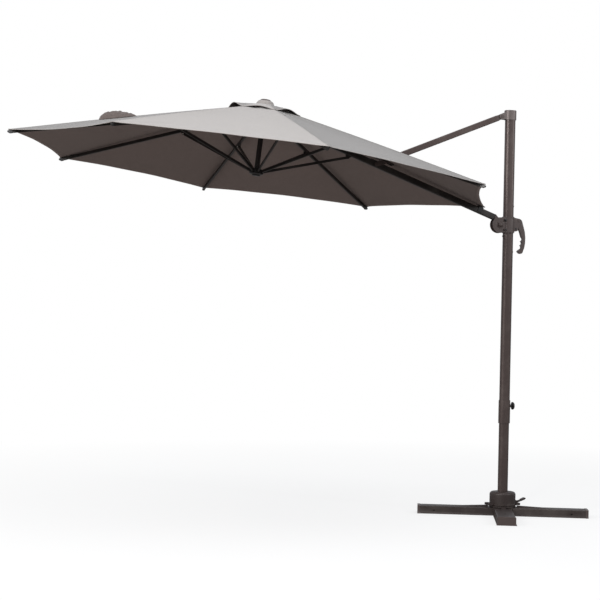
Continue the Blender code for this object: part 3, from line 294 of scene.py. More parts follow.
def make_plastic(name, colour, roughness, grain=1400.0):
    """Moulded plastic: spark-eroded grain, slight flow marks and a painted highlight on its sharp edges."""
    made = Finish(name)
    spark = made.noise(grain, 3.0, 0.6)
    flow = made.noise(9.0, 4.0, 0.6, None, (1.0, 1.0, 3.0))
    base = made.mix(made.ramp(flow, 0.35, 0.7, 0.0, 0.4), colour, tint(colour, 1.3))
    # painted highlight: sharp convex edges are lightened
    base = made.mix(made.edges(0.53, 0.62, 0.3), base, tint(colour, 1.9, 0.01))
    rough = made.ramp(flow, 0.3, 0.7, roughness + 0.08, roughness - 0.05)
    return made.shade(Base_Color=base, Roughness=rough, Normal=made.bump(spark, 0.00012, 0.5))


def make_zinc(name):
    """Zinc plate: faint spangle and brushed streaks."""
    made = Finish(name)
    spangle = made.node("ShaderNodeTexVoronoi", {"Scale": 420.0}).outputs["Color"]
    brushed = made.noise(60.0, 3.0, 0.6, None, (1.0, 1.0, 18.0))
    base = made.mix(0.25, (0.62, 0.62, 0.60), spangle, "SOFT_LIGHT")
    rough = made.ramp(brushed, 0.3, 0.7, 0.24, 0.42)
    return made.shade(Base_Color=base, Roughness=rough, Metallic=1.0, Normal=made.bump(brushed, 0.0001, 0.3))


TOP = make_cloth("cloth_top", (0.34, 0.315, 0.30), 0.82, 0.25, 0.00012)
# painted shade: the strap fold's cloth is made much darker than the canopy's
SHADED_STRAP = make_cloth("strap_cloth_painted_shade", (0.122, 0.098, 0.091), 0.85, 0.15, 0.00012)
# painted shade: the underside is the top cloth made darker and warmer, for the shade under the canopy
SHADED_UNDER = make_cloth("cloth_under_painted_shade", (0.262, 0.203, 0.186), 0.88, 0.05, 0.00010)
# painted shade: the vent's underside and the slit facing are the cloth made near black
SHADED_VENT_UNDER = make_cloth("vent_under_painted_shade", (0.060, 0.046, 0.042), 0.88, 0.05, 0.00010)
MAST_PAINT = make_paint("mast_paint", (0.068, 0.0485, 0.044), 0.36, 0.35)
FRAME_PAINT = make_paint("frame_paint", (0.013, 0.0095, 0.008), 0.45, 0.10)
# painted light: the mast's paint made lighter for the cap, which catches more light
LIT_CAP_PAINT = make_paint("cap_paint_painted_light", (0.125, 0.102, 0.097), 0.40, 0.30)
# painted shade: the base's paint is made darker than the mast's, for the shade near the floor
SHADED_BASE_PAINT = make_paint("base_paint", (0.034, 0.0235, 0.021), 0.48, 0.20, 700.0, 0.4)
BROWN_PLASTIC = make_plastic("bronze_plastic", (0.066, 0.048, 0.044), 0.40)
BLACK_PLASTIC = make_plastic("black_plastic", (0.010, 0.009, 0.009), 0.38)
ZINC = make_zinc("zinc_steel")
SLOTS = {"mast_paint": MAST_PAINT, "frame_paint": FRAME_PAINT, "base_paint": SHADED_BASE_PAINT,
         "bronze_plastic": BROWN_PLASTIC, "black_plastic": BLACK_PLASTIC, "zinc_steel": ZINC,
         "canopy_cloth": TOP}


# ---------------------------------------------------------------- CAD nodes: finish and soft edges
SOFT_EDGE = {"leg": 0.0016, "turret_cover": 0.0016, "slider_body": 0.0014, "handle": 0.0035,
             "mast_cap": 0.0022, "leg_cap": 0.0016, "boom_knuckle": 0.0025, "arm_knuckle": 0.0025,
             "arm_fork": 0.0020, "rib": 0.0010, "strut": 0.0010, "pedal": 0.0014}


def edge_width(node):
    """Bevel width for a CAD node, by the longest name that its own starts with."""
    names = [name for name in SOFT_EDGE if node.startswith(name)]
    return SOFT_EDGE[max(names, key=len)] if names else 0.0008


def soften(thing, width):
    """Welded, bevelled at its hard edges, and shaded smooth elsewhere."""
    weld = thing.modifiers.new("Weld", "WELD")
    weld.merge_threshold = 0.00002
    bevel = thing.modifiers.new("Bevel", "BEVEL")
    bevel.width = width
    bevel.segments = 3
    bevel.limit_method = "ANGLE"
    bevel.angle_limit = math.radians(32)
    bevel.use_clamp_overlap = True
    bevel.harden_normals = False
    normals = thing.modifiers.new("Normals", "WEIGHTED_NORMAL")
    normals.keep_sharp = True


def finish_cad_nodes():
    """Each CAD node gets its slot's material, the mast cap a lighter copy of the mast paint as painted light, and
    soft edges.
    """
    slots = {part["node"]: part["material_slot"] for part in frame["record"]["subparts"]}
    for name, thing in frame["nodes"].items():
        thing.data.materials.clear()
        # painted light: the cap takes the lighter copy of the mast paint
        thing.data.materials.append(LIT_CAP_PAINT if name == "mast_cap" else SLOTS[slots[name]])
        if "custom_normal" in thing.data.attributes:
            thing.data.attributes.remove(thing.data.attributes["custom_normal"])
        thing.data.shade_smooth()
        soften(thing, edge_width(name))


# ---------------------------------------------------------------- cloth surfaces, canopy coordinates
def bow_of(chord, half_chord):
    """0 at the seams of a panel, 1 halfway between them."""
    return 1 - (chord / half_chord) ** 2


def rib_line(share):
    """Height of the open canopy over a rib."""
    return APEX + (CROWN + 4 * BOW * share) * (1 - share) - RISE * share


def canopy_point(panel, share, chord):
    """Top of the open canopy; share runs along the rib from the axis, chord across the panel's middle."""
    middle = (panel + 0.5) * PANEL_ANGLE
    half = RADIUS * share * HALF_CHORD
    bow = bow_of(chord, half)
    reach = RADIUS * share * APOTHEM - SCALLOP * bow * share ** 3
    reach = reach + LOBE * np.exp(-((half - np.abs(chord)) / LOBE_HALF) ** 2) * share ** 60
    start = OPENING / RADIUS
    travel = (share - start) / (1 - start)
    drop = SAG * bow * np.sin(math.pi * np.clip(travel, 0, 1) ** 0.85)
    x = reach * math.cos(middle) - chord * math.sin(middle)
    y = reach * math.sin(middle) + chord * math.cos(middle)
    z = rib_line(share)
    z = z + HEM_LIFT * bow * share ** 3 - drop + canopy_creases(panel, share, chord, half, bow)
    z = z - HEM_DROOP[panel] * bow * share ** 6
    return np.stack([x, y, z], -1)


def canopy_creases(panel, share, chord, half, bow):
    """Small folds: pulls from the corners, ripples by the vent and slow waves in each panel."""
    rib_distance = half - np.abs(chord)
    tip_distance = np.hypot((1 - share) * RADIUS, rib_distance)
    turn = np.arctan2(rib_distance, (1 - share) * RADIUS + 1e-4)
    phase = 1.7 * panel
    pull = 0.0020 * np.exp(-tip_distance / 0.22) * np.sin(9.0 * turn + phase)
    pull = pull * np.clip(rib_distance / 0.05, 0, 1)
    from_vent = share * RADIUS - OPENING
    ripple = 0.0022 * np.exp(-from_vent / 0.20) * np.sin(from_vent * 68 + 2.4 * chord / half + phase) * bow
    fan = 0.0020 * np.exp(-from_vent / 0.28) * np.sin(7.0 * chord / half + 2.3 * phase) * bow
    wave = 0.0018 * np.sin(5.1 * share + 3.0 * chord + phase) * np.sin(6.3 * chord + 1.3 * phase) * bow
    wave = wave * (1 - share ** 8)
    edge_wave = 0.0008 * np.exp(-(1 - share) * RADIUS / 0.10) * np.sin(15 * chord + phase) * bow
    return pull + ripple + fan + wave + edge_wave


def vent_height(radius):
    """Top of the vent cloth over a rib."""
    return VENT_APEX - VENT_FALL * (radius / VENT_RADIUS) ** VENT_CURVE


def vent_point(panel, share, chord):
    """Top of the small vent cloth, whose hem arches up between its corners."""
    middle = (panel + 0.5) * PANEL_ANGLE
    half = VENT_RADIUS * share * HALF_CHORD
    across_panel = (chord / half + 1) / 2
    corner = VENT_CORNER[panel] * (1 - across_panel) + VENT_CORNER[(panel + 1) % SIDES] * across_panel
    size = 1 + (corner / VENT_RADIUS - 1) * share ** 2
    bow = bow_of(chord, half)
    skew = math.log(0.5) / math.log(VENT_PEAK[panel])
    arch = np.sin(math.pi * np.clip(across_panel, 0, 1) ** skew) ** 1.5
    reach = VENT_RADIUS * share * APOTHEM - 0.010 * bow * share ** 3
    ripple = 0.0016 * np.sin(30 * share + 2.2 * panel) * np.sin(4.5 * chord / half + panel) * bow * share
    x = (reach * math.cos(middle) - chord * math.sin(middle)) * size
    y = (reach * math.sin(middle) + chord * math.cos(middle)) * size
    z = vent_height(VENT_RADIUS * share) + VENT_LIFT[panel] * arch * share ** 2.2 + ripple
    return np.stack([x, y, z], -1)


def unit(vectors):
    return vectors / np.maximum(np.linalg.norm(vectors, axis=-1, keepdims=True), 1e-12)


def grid_normals(points):
    """Sum of face normals at each point of a grid, not yet of unit length."""
    faces = np.cross(points[1:, :-1] - points[:-1, 1:], points[1:, 1:] - points[:-1, :-1])
    total = np.zeros_like(points)
    for rows in (slice(0, -1), slice(1, None)):
        for columns in (slice(0, -1), slice(1, None)):
            total[rows, columns] += faces
    return total


class Gore:
    """One rib's cloth, from mid-panel to mid-panel: grids of its top and underside in canopy coordinates."""

    def __init__(self, number, radius, shares, near, steps, surface, layers):
        """Near lists its columns' distances from the rib; even steps go on from the last one to mid-panel."""
        self.number = number
        self.radius = radius
        self.shares = shares
        position = (BOOM_SIDE - number) % SIDES
        self.panels = ((position - 1) % SIDES, position)
        half = radius * shares * HALF_CHORD
        distances = [np.full_like(half, distance) for distance in near]
        distances += [near[-1] + (half - near[-1]) * k / steps for k in range(1, steps + 1)]
        from_rib = np.stack(distances, 1)
        chord = half[:, None] - from_rib
        low = surface(self.panels[0], shares[:, None], chord)
        high = surface(self.panels[1], shares[:, None], -chord)
        self.from_rib = np.concatenate([from_rib[:, :0:-1], from_rib], 1)
        self.top = np.concatenate([low[:, :0:-1], high], 1)
        self.normals = grid_normals(self.top)
        self.layers = layers(self)


def close_gores(gores):
    """Shares normals across mid-panel borders, then raises each top's layers and adds the underside."""
    by_number = {gore.number: gore for gore in gores}
    for gore in gores:
        # The high side of position n meets the low side of position n - 1.
        other = by_number[gore.number - 1 if gore.number > 1 else SIDES]
        joined = gore.normals[:, -1] + other.normals[:, 0]
        gore.normals[:, -1] = joined
        other.normals[:, 0] = joined
    for gore in gores:
        gore.normals = unit(gore.normals)
        raised, lowered = gore.layers
        gore.bottom = gore.top - gore.normals * (CLOTH + lowered)[:, :, None]
        gore.top = gore.top + gore.normals * raised[:, :, None]


def build_sheet(name, top, bottom, normals, painted_shade, seam, hem, skip=None):
    """A closed thin cloth from two grids; skip marks the cells of an opening."""
    rows, columns = top.shape[:2]
    verts = np.concatenate([top.reshape(-1, 3), bottom.reshape(-1, 3)])
    under = rows * columns
    index = np.arange(under).reshape(rows, columns)
    keep = np.ones((rows - 1, columns - 1), bool) if skip is None else ~skip
    faces, slots, kinds = [], [], []
    for i, j in np.argwhere(keep):
        a, b, c, d = index[i, j], index[i + 1, j], index[i + 1, j + 1], index[i, j + 1]
        faces += [(a, b, c, d), (a + under, d + under, c + under, b + under)]
        slots += [0, 1]
        kinds += [(i, j), (i, j)]
        edges = ((i, j - 1, b, a), (i, j + 1, d, c), (i - 1, j, a, d), (i + 1, j, c, b))
        for ni, nj, first, second in edges:
            outside = ni < 0 or nj < 0 or ni >= rows - 1 or nj >= columns - 1
            if outside or not keep[ni, nj]:
                faces.append((first, second, second + under, first + under))
                slots.append(0)
                kinds.append(None)
    used = sorted({v for face in faces for v in face})
    renumber = {v: k for k, v in enumerate(used)}
    mesh = bpy.data.meshes.new(name)
    mesh.from_pydata([tuple(verts[v]) for v in used], [], [[renumber[v] for v in face] for face in faces])
    mesh.materials.append(TOP)
    # painted shade: the underside slot takes the darker cloth
    mesh.materials.append(SHADED_UNDER)
    mesh.polygons.foreach_set("material_index", slots)
    mesh.update()

    def corner(v):
        v = v % under
        return v // columns, v % columns

    layers = {key: mesh.uv_layers.new(name=key) for key in ("threads", "seam", "hem")}
    painted_shades = mesh.attributes.new("painted_shade", "FLOAT", "FACE")
    # painted light and shade of the panel that each face belongs to
    painted_shades.data.foreach_set("value", [float(painted_shade[k[1]]) if k else float(painted_shade.mean()) for k in kinds])
    loop = 0
    loop_normals = []
    threads = hem[..., ::-1]
    for polygon, face, kind in zip(mesh.polygons, faces, kinds):
        flat = tuple(polygon.normal)
        for v in face:
            i, j = corner(v)
            layers["threads"].data[loop].uv = threads[i, j]
            layers["seam"].data[loop].uv = seam[i, j]
            layers["hem"].data[loop].uv = hem[i, j]
            if kind is None:
                loop_normals.append(flat)
            else:
                n = normals[i, j] if v < under else -normals[i, j]
                loop_normals.append(tuple(n))
            loop += 1
    mesh.shade_smooth()
    mesh.normals_split_custom_set(loop_normals)
    made = bpy.data.objects.new(name, mesh)
    bpy.context.scene.collection.objects.link(made)
    return made


def fold_with_canopy(thing):
    """Gives the piece its own copy of its mesh."""
    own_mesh(thing)


def bend_from_hub(thing):
    """Bakes the piece's placement into its mesh."""
    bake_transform(thing)


def smooth_normals(gore):
    """Row-frame normals of the gore, with seam and hem steps kept."""
    fine = unit(grid_normals(gore.top))
    fine[:, 0] = gore.normals[:, 0]
    fine[:, -1] = gore.normals[:, -1]
    return fine @ CANOPY_AXES.T


def up_to(values, limit):
    return values <= limit + TINY


def from_on(values, limit):
    return values >= limit - TINY


def canopy_rows():
    """Shares of the rib's length: even rows, with close ones at the slit, the opening and the hem."""
    hem, patch = RADIUS - HEM_WIDTH, RADIUS - PATCH
    before, after = SLIT[0] - WELT, SLIT[1] + WELT
    marks = [OPENING, OPENING + INNER_HEM, OPENING + INNER_HEM + STEP, before - STEP, before, *SLIT, after,
             after + STEP, patch - STEP, patch, hem - STEP, hem, RADIUS]
    gaps = [(OPENING + 0.018, before - STEP, 14), (*SLIT, 5), (after + STEP, patch - STEP, 16),
            (patch, hem - STEP, 3)]
    for low, high, count in gaps:
        marks += list(np.linspace(low, high, count + 2)[1:-1])
    return np.array(sorted(marks)) / RADIUS


def canopy_layers(gore):
    """How far seams, hems, patches and the slit's welt stand above the top, and below the underside."""
    along = gore.shares[:, None] * RADIUS * np.ones_like(gore.from_rib)
    seam = SEAM_RISE * up_to(gore.from_rib, SEAM_HALF)
    hem = HEM_RISE * (from_on(along, RADIUS - HEM_WIDTH) | up_to(along, OPENING + INNER_HEM))
    patch = from_on(along, RADIUS - PATCH) & up_to(gore.from_rib, SLIT_HALF)
    raised = np.maximum(seam + hem, PATCH_RISE * patch)
    if gore.number == BOOM_SIDE:
        beside = up_to(gore.from_rib, SLIT_HALF + WELT)
        around = from_on(along, SLIT[0] - WELT) & up_to(along, SLIT[1] + WELT)
        raised = np.where(beside & around, np.maximum(raised, WELT_RISE), raised)
    return raised, hem + 0.7 * seam


def slit_cells(gore):
    """Cells of the opening that the upper arm passes through."""
    along = gore.shares * RADIUS
    row = from_on(along[:-1], SLIT[0]) & up_to(along[1:], SLIT[1])
    inside = up_to(gore.from_rib[0], SLIT_HALF)
    return row[:, None] & (inside[:-1] & inside[1:])


def sheet_from(gore, name, skip=None, columns=slice(None)):
    """The gore's cloth, or some of its columns, as one object."""
    along = gore.shares[:, None] * gore.radius * np.ones_like(gore.from_rib)
    chord = gore.radius * gore.shares[:, None] * HALF_CHORD - gore.from_rib
    seam = np.stack([gore.from_rib * APOTHEM, along], -1)
    hem = np.stack([(gore.radius - along) * APOTHEM, chord], -1)
    # painted light and shade of the gore's two panels
    painted_shade = np.repeat([PANEL_PAINTED_SHADE[panel] for panel in gore.panels], gore.from_rib.shape[1] // 2)
    grids = (to_row(gore.top), to_row(gore.bottom), smooth_normals(gore), seam, hem)
    top, bottom, normals, seam, hem = (grid[:, columns] for grid in grids)
    first = columns.start or 0
    cells = slice(first, first + top.shape[1] - 1)
    opening = None if skip is None else skip[:, cells]
    return build_sheet(name, top, bottom, normals, painted_shade[cells], seam, hem, opening)


def build_canopy():
    """Eight gores of the main cloth, each on its rib."""
    shares = canopy_rows()
    near = [0.0, SEAM_HALF, SEAM_HALF + STEP, SLIT_HALF, SLIT_HALF + WELT, SLIT_HALF + WELT + STEP]
    gores = [Gore(n, RADIUS, shares, near, 15, canopy_point, canopy_layers) for n in range(1, SIDES + 1)]
    close_gores(gores)
    for gore in gores:
        if gore.number == BOOM_SIDE:
            build_boom_gore(gore)
            continue
        piece = sheet_from(gore, f"canopy_gore_{gore.number}")
        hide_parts("canopy")
        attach(piece, body_of_side(gore.number))
        fold_with_canopy(piece)


def build_boom_gore(gore):
    """The boom's gore: a middle strip that keeps its width for the upper arm, and a flank on each side."""
    edge = SLIT_HALF + WELT
    inside = np.flatnonzero(up_to(gore.from_rib[0], edge))
    first, last = inside[0], inside[-1]
    strips = [("middle", slice(first, last + 1), None), ("left", slice(0, first + 1), -edge),
              ("right", slice(last, None), edge)]
    skip = slit_cells(gore)
    for name, columns, offset in strips:
        piece = sheet_from(gore, f"canopy_gore_{gore.number}_{name}", skip, columns)
        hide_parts("canopy")
        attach(piece, body_of_side(gore.number))
        if offset is not None:
            fold_with_canopy(piece)


def build_slit_facing():
    """A narrow cloth facing that hangs from the slit's edges, round the upper arm, painted near black as shade."""
    steps = 12
    reach = np.linspace(SLIT[0], SLIT[1], steps + 1)
    round_slit = [(x, -1) for x in reach] + [(x, 1) for x in reach[::-1]]
    verts, faces = [], []
    for x, sign in round_slit:
        inner_x = min(max(x, SLIT[0] + CLOTH), SLIT[1] - CLOTH)
        outer = (x, sign * SLIT_HALF)
        inner = (inner_x, sign * (SLIT_HALF - CLOTH))
        top = rib_line(x / RADIUS) - CROSS_FALL * SLIT_HALF - 0.0003
        verts += [(*outer, top), (*outer, top - FACING), (*inner, top - FACING), (*inner, top)]
    count = len(round_slit)
    for i in range(count):
        k = (i + 1) % count
        for j in range(4):
            n = (j + 1) % 4
            faces.append((4 * i + j, 4 * i + n, 4 * k + n, 4 * k + j))
    mesh = bpy.data.meshes.new("slit_facing")
    mesh.from_pydata([tuple(v) for v in to_row(np.array(verts))], [], faces)
    # painted shade: the facing is near black
    mesh.materials.append(SHADED_VENT_UNDER)
    mesh.validate()
    form = bmesh.new()
    form.from_mesh(mesh)
    bmesh.ops.recalc_face_normals(form, faces=form.faces)
    form.to_mesh(mesh)
    form.free()
    piece = bpy.data.objects.new("slit_facing", mesh)
    bpy.context.scene.collection.objects.link(piece)
    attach(piece, body_of_side(BOOM_SIDE))


def vent_layers(gore):
    """How far the vent cloth's hem and seams stand above its top, and below its underside."""
    along = gore.shares[:, None] * VENT_RADIUS * np.ones_like(gore.from_rib)
    hem = HEM_RISE * from_on(along, VENT_RADIUS - VENT_HEM)
    return hem + SEAM_RISE * up_to(gore.from_rib, SEAM_HALF), hem


def build_vent():
    """The vent cloth's eight panels, each from the crown to its rib's hem corner."""
    start = VENT_CROWN / VENT_RADIUS
    hem = 1 - VENT_HEM / VENT_RADIUS
    shares = np.array(list(np.linspace(start, hem - 0.02, 9)) + [hem - 0.005, hem, 0.965, 1.0])
    near = [0.0, SEAM_HALF, SEAM_HALF + 0.001]
    gores = [Gore(n, VENT_RADIUS, shares, near, 10, vent_point, vent_layers) for n in range(1, SIDES + 1)]
    close_gores(gores)
    for gore in gores:
        piece = sheet_from(gore, f"vent_panel_{gore.number}")
        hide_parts("vent_cap")
        # painted shade: the vent's underside is near black
        piece.data.materials[1] = SHADED_VENT_UNDER
        bend_from_hub(piece)


def skin(name, rings, thickness):
    """A closed cloth from rings of points, inner ring first: its top, its underside and two edges."""
    count = len(rings[0])
    top = np.array(rings)
    around = np.concatenate([top[:, -1:], top, top[:, :1]], 1)
    padded = np.concatenate([2 * around[:1] - around[1:2], around, 2 * around[-1:] - around[-2:-1]], 0)
    along = padded[2:, 1:-1] - padded[:-2, 1:-1]
    beside = padded[1:-1, 2:] - padded[1:-1, :-2]
    low = top - unit(np.cross(along, beside)) * thickness
    verts = to_row(np.concatenate([top.reshape(-1, 3), low.reshape(-1, 3)]))
    under = top.shape[0] * count
    faces, slots = [], []
    for i in range(top.shape[0] - 1):
        for j in range(count):
            k = (j + 1) % count
            quad = (i * count + j, (i + 1) * count + j, (i + 1) * count + k, i * count + k)
            faces += [quad, tuple(v + under for v in reversed(quad))]
            slots += [0, 1]
    last = (top.shape[0] - 1) * count
    for j in range(count):
        k = (j + 1) % count
        faces += [(last + j, last + j + under, last + k + under, last + k), (k, k + under, j + under, j)]
        slots += [0, 0]
    mesh = bpy.data.meshes.new(name)
    mesh.from_pydata([tuple(v) for v in verts], [], faces)
    mesh.materials.append(TOP)
    # painted shade: the underside slot takes the darker cloth
    mesh.materials.append(SHADED_UNDER)
    mesh.polygons.foreach_set("material_index", slots)
    painted_shades = mesh.attributes.new("painted_shade", "FLOAT", "FACE")
    # painted shade: the crown's cloth is made a little darker
    painted_shades.data.foreach_set("value", [0.95] * len(faces))
    layers = [mesh.uv_layers.new(name=key) for key in ("threads", "seam", "hem")]
    lengths = np.concatenate([[0], np.cumsum(np.linalg.norm(np.diff(top[:, 0], axis=0), axis=1))])
    for loop in mesh.loops:
        ring, turn = divmod(loop.vertex_index % under, count)
        girth = 2 * math.pi * turn / count * np.linalg.norm(top[ring, 0, :2])
        layers[0].data[loop.index].uv = (girth, lengths[ring])
        layers[1].data[loop.index].uv = (lengths[-1] - lengths[ring] + 0.5, girth)
        layers[2].data[loop.index].uv = (lengths[-1] - lengths[ring], girth)
    mesh.shade_smooth()
    made = bpy.data.objects.new(name, mesh)
    bpy.context.scene.collection.objects.link(made)
    return made


def build_vent_crown():
    """The middle of the vent cloth: drawn up round the finial's side, eight soft pleats where it gathers."""
    profile = [(0.0412, FINIAL_TOP - 0.0125), (0.0430, FINIAL_TOP - 0.0130), (0.0475, FINIAL_TOP - 0.0178),
               (0.0515, FINIAL_TOP - 0.0225), (0.0545, FINIAL_TOP - 0.0275),
               (0.0560, vent_height(0.0560) + 0.0035), (0.0620, vent_height(0.0620) + 0.0008),
               (0.0700, vent_height(0.0700)),
               (VENT_CROWN + 0.001, vent_height(VENT_CROWN) - 0.0002)]
    rings = []
    for radius, z in profile:
        ring = []
        for step in range(96):
            angle = 2 * math.pi * step / 96
            corner = APOTHEM / math.cos(angle % PANEL_ANGLE - PANEL_ANGLE / 2)
            flat = min(1.0, max(0.0, (radius - 0.050) / 0.020))
            reach = radius * (1 + (corner - 1) * flat)
            pleat = 0.0009 * math.sin(16 * angle + 0.6) * (1 - abs(2 * flat - 1) if radius > 0.050 else 0.4)
            ring.append((reach * math.cos(angle), reach * math.sin(angle), z + pleat))
        rings.append(ring)
    crown = skin("vent_crown", rings, CLOTH)
    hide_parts("vent_cap")
    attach(crown, "head")


# ---------------------------------------------------------------- raised fold on the outer rib
FOLD_START, FOLD_END = 0.99, 0.775  # from the axis
FOLD_HEIGHT = 0.044
FOLD_HALF = 0.048


def build_raised_fold():
    """The bunched fold of the closing strap: a soft arched hump, creased at its outer end, its top painted dark as
    shade.
    """
    steps, sides = 40, 26
    top = np.zeros((steps + 1, sides + 1, 3))
    low = np.zeros_like(top)
    for i in range(steps + 1):
        u = i / steps
        radius = FOLD_START + (FOLD_END - FOLD_START) * u
        arch = FOLD_HEIGHT * math.sin(math.pi * u ** 0.62) ** 0.75
        width = FOLD_HALF * (0.55 + 0.45 * math.sin(math.pi * min(1, u + 0.08)) ** 0.6)
        for j in range(sides + 1):
            v = 2 * j / sides - 1
            y = width * v
            base = rib_line(radius / RADIUS) - CROSS_FALL * abs(y)
            dome = (1 - v * v) ** 0.62
            crease = 0.0070 * math.exp(-((u - 0.27 - 0.10 * v) / 0.035) ** 2)
            crease += 0.0050 * math.exp(-((u - 0.66 + 0.16 * v) / 0.045) ** 2)
            crease += 0.0030 * math.sin(19 * u + 5 * v) * math.sin(9 * v + 2)
            crease += 0.0014 * math.sin(43 * u - 11 * v)
            lift = arch * dome - crease * dome * min(1, 8 * u) * min(1, 8 * (1 - u))
            lean = 0.010 * math.sin(math.pi * u) * dome
            top[i, j] = (-radius, -y + lean, base + 0.0012 + max(0.0, lift))
            low[i, j] = (-radius, -y, base - 0.0006)
    along = np.linspace(0, FOLD_START - FOLD_END, steps + 1)[:, None] * np.ones(sides + 1)
    aside = np.linspace(-FOLD_HALF, FOLD_HALF, sides + 1)[None, :] * np.ones((steps + 1, 1))
    seam = np.stack([FOLD_HALF - np.abs(aside) + 0.004, along], -1)
    hem = np.stack([np.minimum(along, FOLD_START - FOLD_END - along) + 0.012, aside], -1)
    normals = unit(grid_normals(top)) @ CANOPY_AXES.T
    piece = build_sheet("strap_fold", to_row(top), to_row(low), normals, np.ones(sides), seam, hem)
    # painted shade: the fold's top takes the darker cloth
    piece.data.materials[0] = SHADED_STRAP
    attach(piece, body_of_side(1))
    fold_with_canopy(piece)


# ---------------------------------------------------------------- small hardware
RIVET_FACE = 0.0085  # half the width of a rib's strut bracket
CHEEK_FACE = 0.0230  # outer face of the slider's cheeks
BOLT_TOP = 0.0299
CARRIAGE_HALF = (0.0383, 0.0303, 0.0273)  # half width, half depth and corner radius of the carriage
CARRIAGE_FLANK = 0.0325  # where the carriage's side screws stand
SCREW_X = (-0.030, 0.046)  # of the side screws and of the ones by the handle


def lathe(mesh_parts, profile, place, axis, steps=20):
    """Adds a closed turned solid to a list: profile points are (radius, distance along the axis)."""
    turn = Vector((0, 0, 1)).rotation_difference(Vector(axis)).to_matrix()
    rings = []
    for radius, along in profile:
        if radius < 1e-9:
            mesh_parts["verts"].append(Vector(place) + turn @ Vector((0, 0, along)))
            rings.append([len(mesh_parts["verts"]) - 1])
            continue
        ring = []
        for k in range(steps):
            angle = 2 * math.pi * k / steps
            point = Vector((radius * math.cos(angle), radius * math.sin(angle), along))
            mesh_parts["verts"].append(Vector(place) + turn @ point)
            ring.append(len(mesh_parts["verts"]) - 1)
        rings.append(ring)
    for first, second in zip(rings, rings[1:]):
        for k in range(steps):
            m = (k + 1) % steps
            corners = [first[k % len(first)], first[m % len(first)]]
            corners += [second[m % len(second)], second[k % len(second)]]
            face = list(dict.fromkeys(corners))
            if len(face) > 2:
                mesh_parts["faces"].append(face[::-1])


def cross_socket(mesh_parts, radius, depth, place, axis, lobes=4, steps=32):
    """A screw head's top with a lobed recess: rim, recess wall and floor."""
    turn = Vector((0, 0, 1)).rotation_difference(Vector(axis)).to_matrix()
    rings = []
    for kind, along in (("rim", 0.0), ("recess", 0.0), ("recess", -depth), ("centre", -depth)):
        ring = []
        for k in range(steps):
            angle = 2 * math.pi * k / steps
            lobe = 0.30 + 0.24 * math.cos(lobes * angle)
            reach = radius * {"rim": 1.0, "recess": lobe, "centre": 0.0}[kind]
            if kind == "centre" and k:
                ring.append(ring[0])
                continue
            point = Vector((reach * math.cos(angle), reach * math.sin(angle), along))
            mesh_parts["verts"].append(Vector(place) + turn @ point)
            ring.append(len(mesh_parts["verts"]) - 1)
        rings.append(ring)
    for first, second in zip(rings, rings[1:]):
        for k in range(steps):
            m = (k + 1) % steps
            face = list(dict.fromkeys([first[k], first[m], second[m], second[k]]))
            if len(face) > 2:
                mesh_parts["faces"].append(face)


def screw_head(mesh_parts, place, axis, radius, height, under=0.001, lobes=4):
    """A pan-head screw standing on a face: skirt, rounded shoulder and a recessed top."""
    axis = Vector(axis).normalized()
    shoulder = [(radius * math.cos(a), height * (0.45 + 0.55 * math.sin(a)))
                for a in (math.radians(15 * k) for k in range(5))]
    profile = [(0.0, -under), (radius, -under)] + shoulder
    lathe(mesh_parts, profile, place, axis, 32)
    rim, top = shoulder[-1]
    cross_socket(mesh_parts, rim, 0.55 * height, Vector(place) + axis * top, axis, lobes)


def hardware(name, mesh_parts, material, body):
    """One object from the collected solids, welded, and riding its body."""
    mesh = bpy.data.meshes.new(name)
    mesh.from_pydata([tuple(v) for v in mesh_parts["verts"]], [], mesh_parts["faces"])
    made = bpy.data.objects.new(name, mesh)
    bpy.context.scene.collection.objects.link(made)
    shape = bmesh.new()
    shape.from_mesh(mesh)
    bmesh.ops.remove_doubles(shape, verts=shape.verts, dist=1e-6)
    bmesh.ops.recalc_face_normals(shape, faces=shape.faces)
    shape.to_mesh(mesh)
    shape.free()
    mesh.materials.append(material)
    mesh.shade_smooth()
    mesh.set_sharp_from_angle(angle=math.radians(40))
    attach(made, body)


def empty_parts():
    return {"verts": [], "faces": []}


def build_rivets():
    """Domed rivet heads where each strut hangs from its rib."""
    for number in range(1, SIDES + 1):
        if number == BOOM_SIDE:
            continue
        place = Vector(joints[f"strut_{number}_fold"]["pos_m"])
        axis = Vector(joints[f"strut_{number}_fold"]["axis"]).normalized()
        head = [(0.0, -0.0008), (0.0046, -0.0008), (0.0046, 0.0004), (0.0040, 0.0016), (0.0024, 0.0024),
                (0.0, 0.0027)]
        collected = empty_parts()
        for sign in (-1, 1):
            lathe(collected, head, place + axis * sign * RIVET_FACE, axis * sign)
        hardware(f"strut_rivet_{number}", collected, ZINC, body_of_side(number))


def carriage_outline(grow, start, end, steps=60):
    """Points round the carriage's rounded section, between two angles seen from the mast's axis."""
    half_x, half_y, corner = CARRIAGE_HALF
    outline = []
    for k in range(steps + 1):
        angle = math.radians(start + (end - start) * k / steps)
        ray = Vector((math.cos(angle), math.sin(angle)))
        low, high = 0.0, 0.2
        for _ in range(30):
            middle = (low + high) / 2
            spot = ray * middle
            over = Vector((max(0.0, abs(spot.x) - half_x + corner), max(0.0, abs(spot.y) - half_y + corner)))
            inside = over.length <= corner + grow
            low, high = (middle, high) if inside else (low, middle)
        outline.append(ray * low)
    return outline


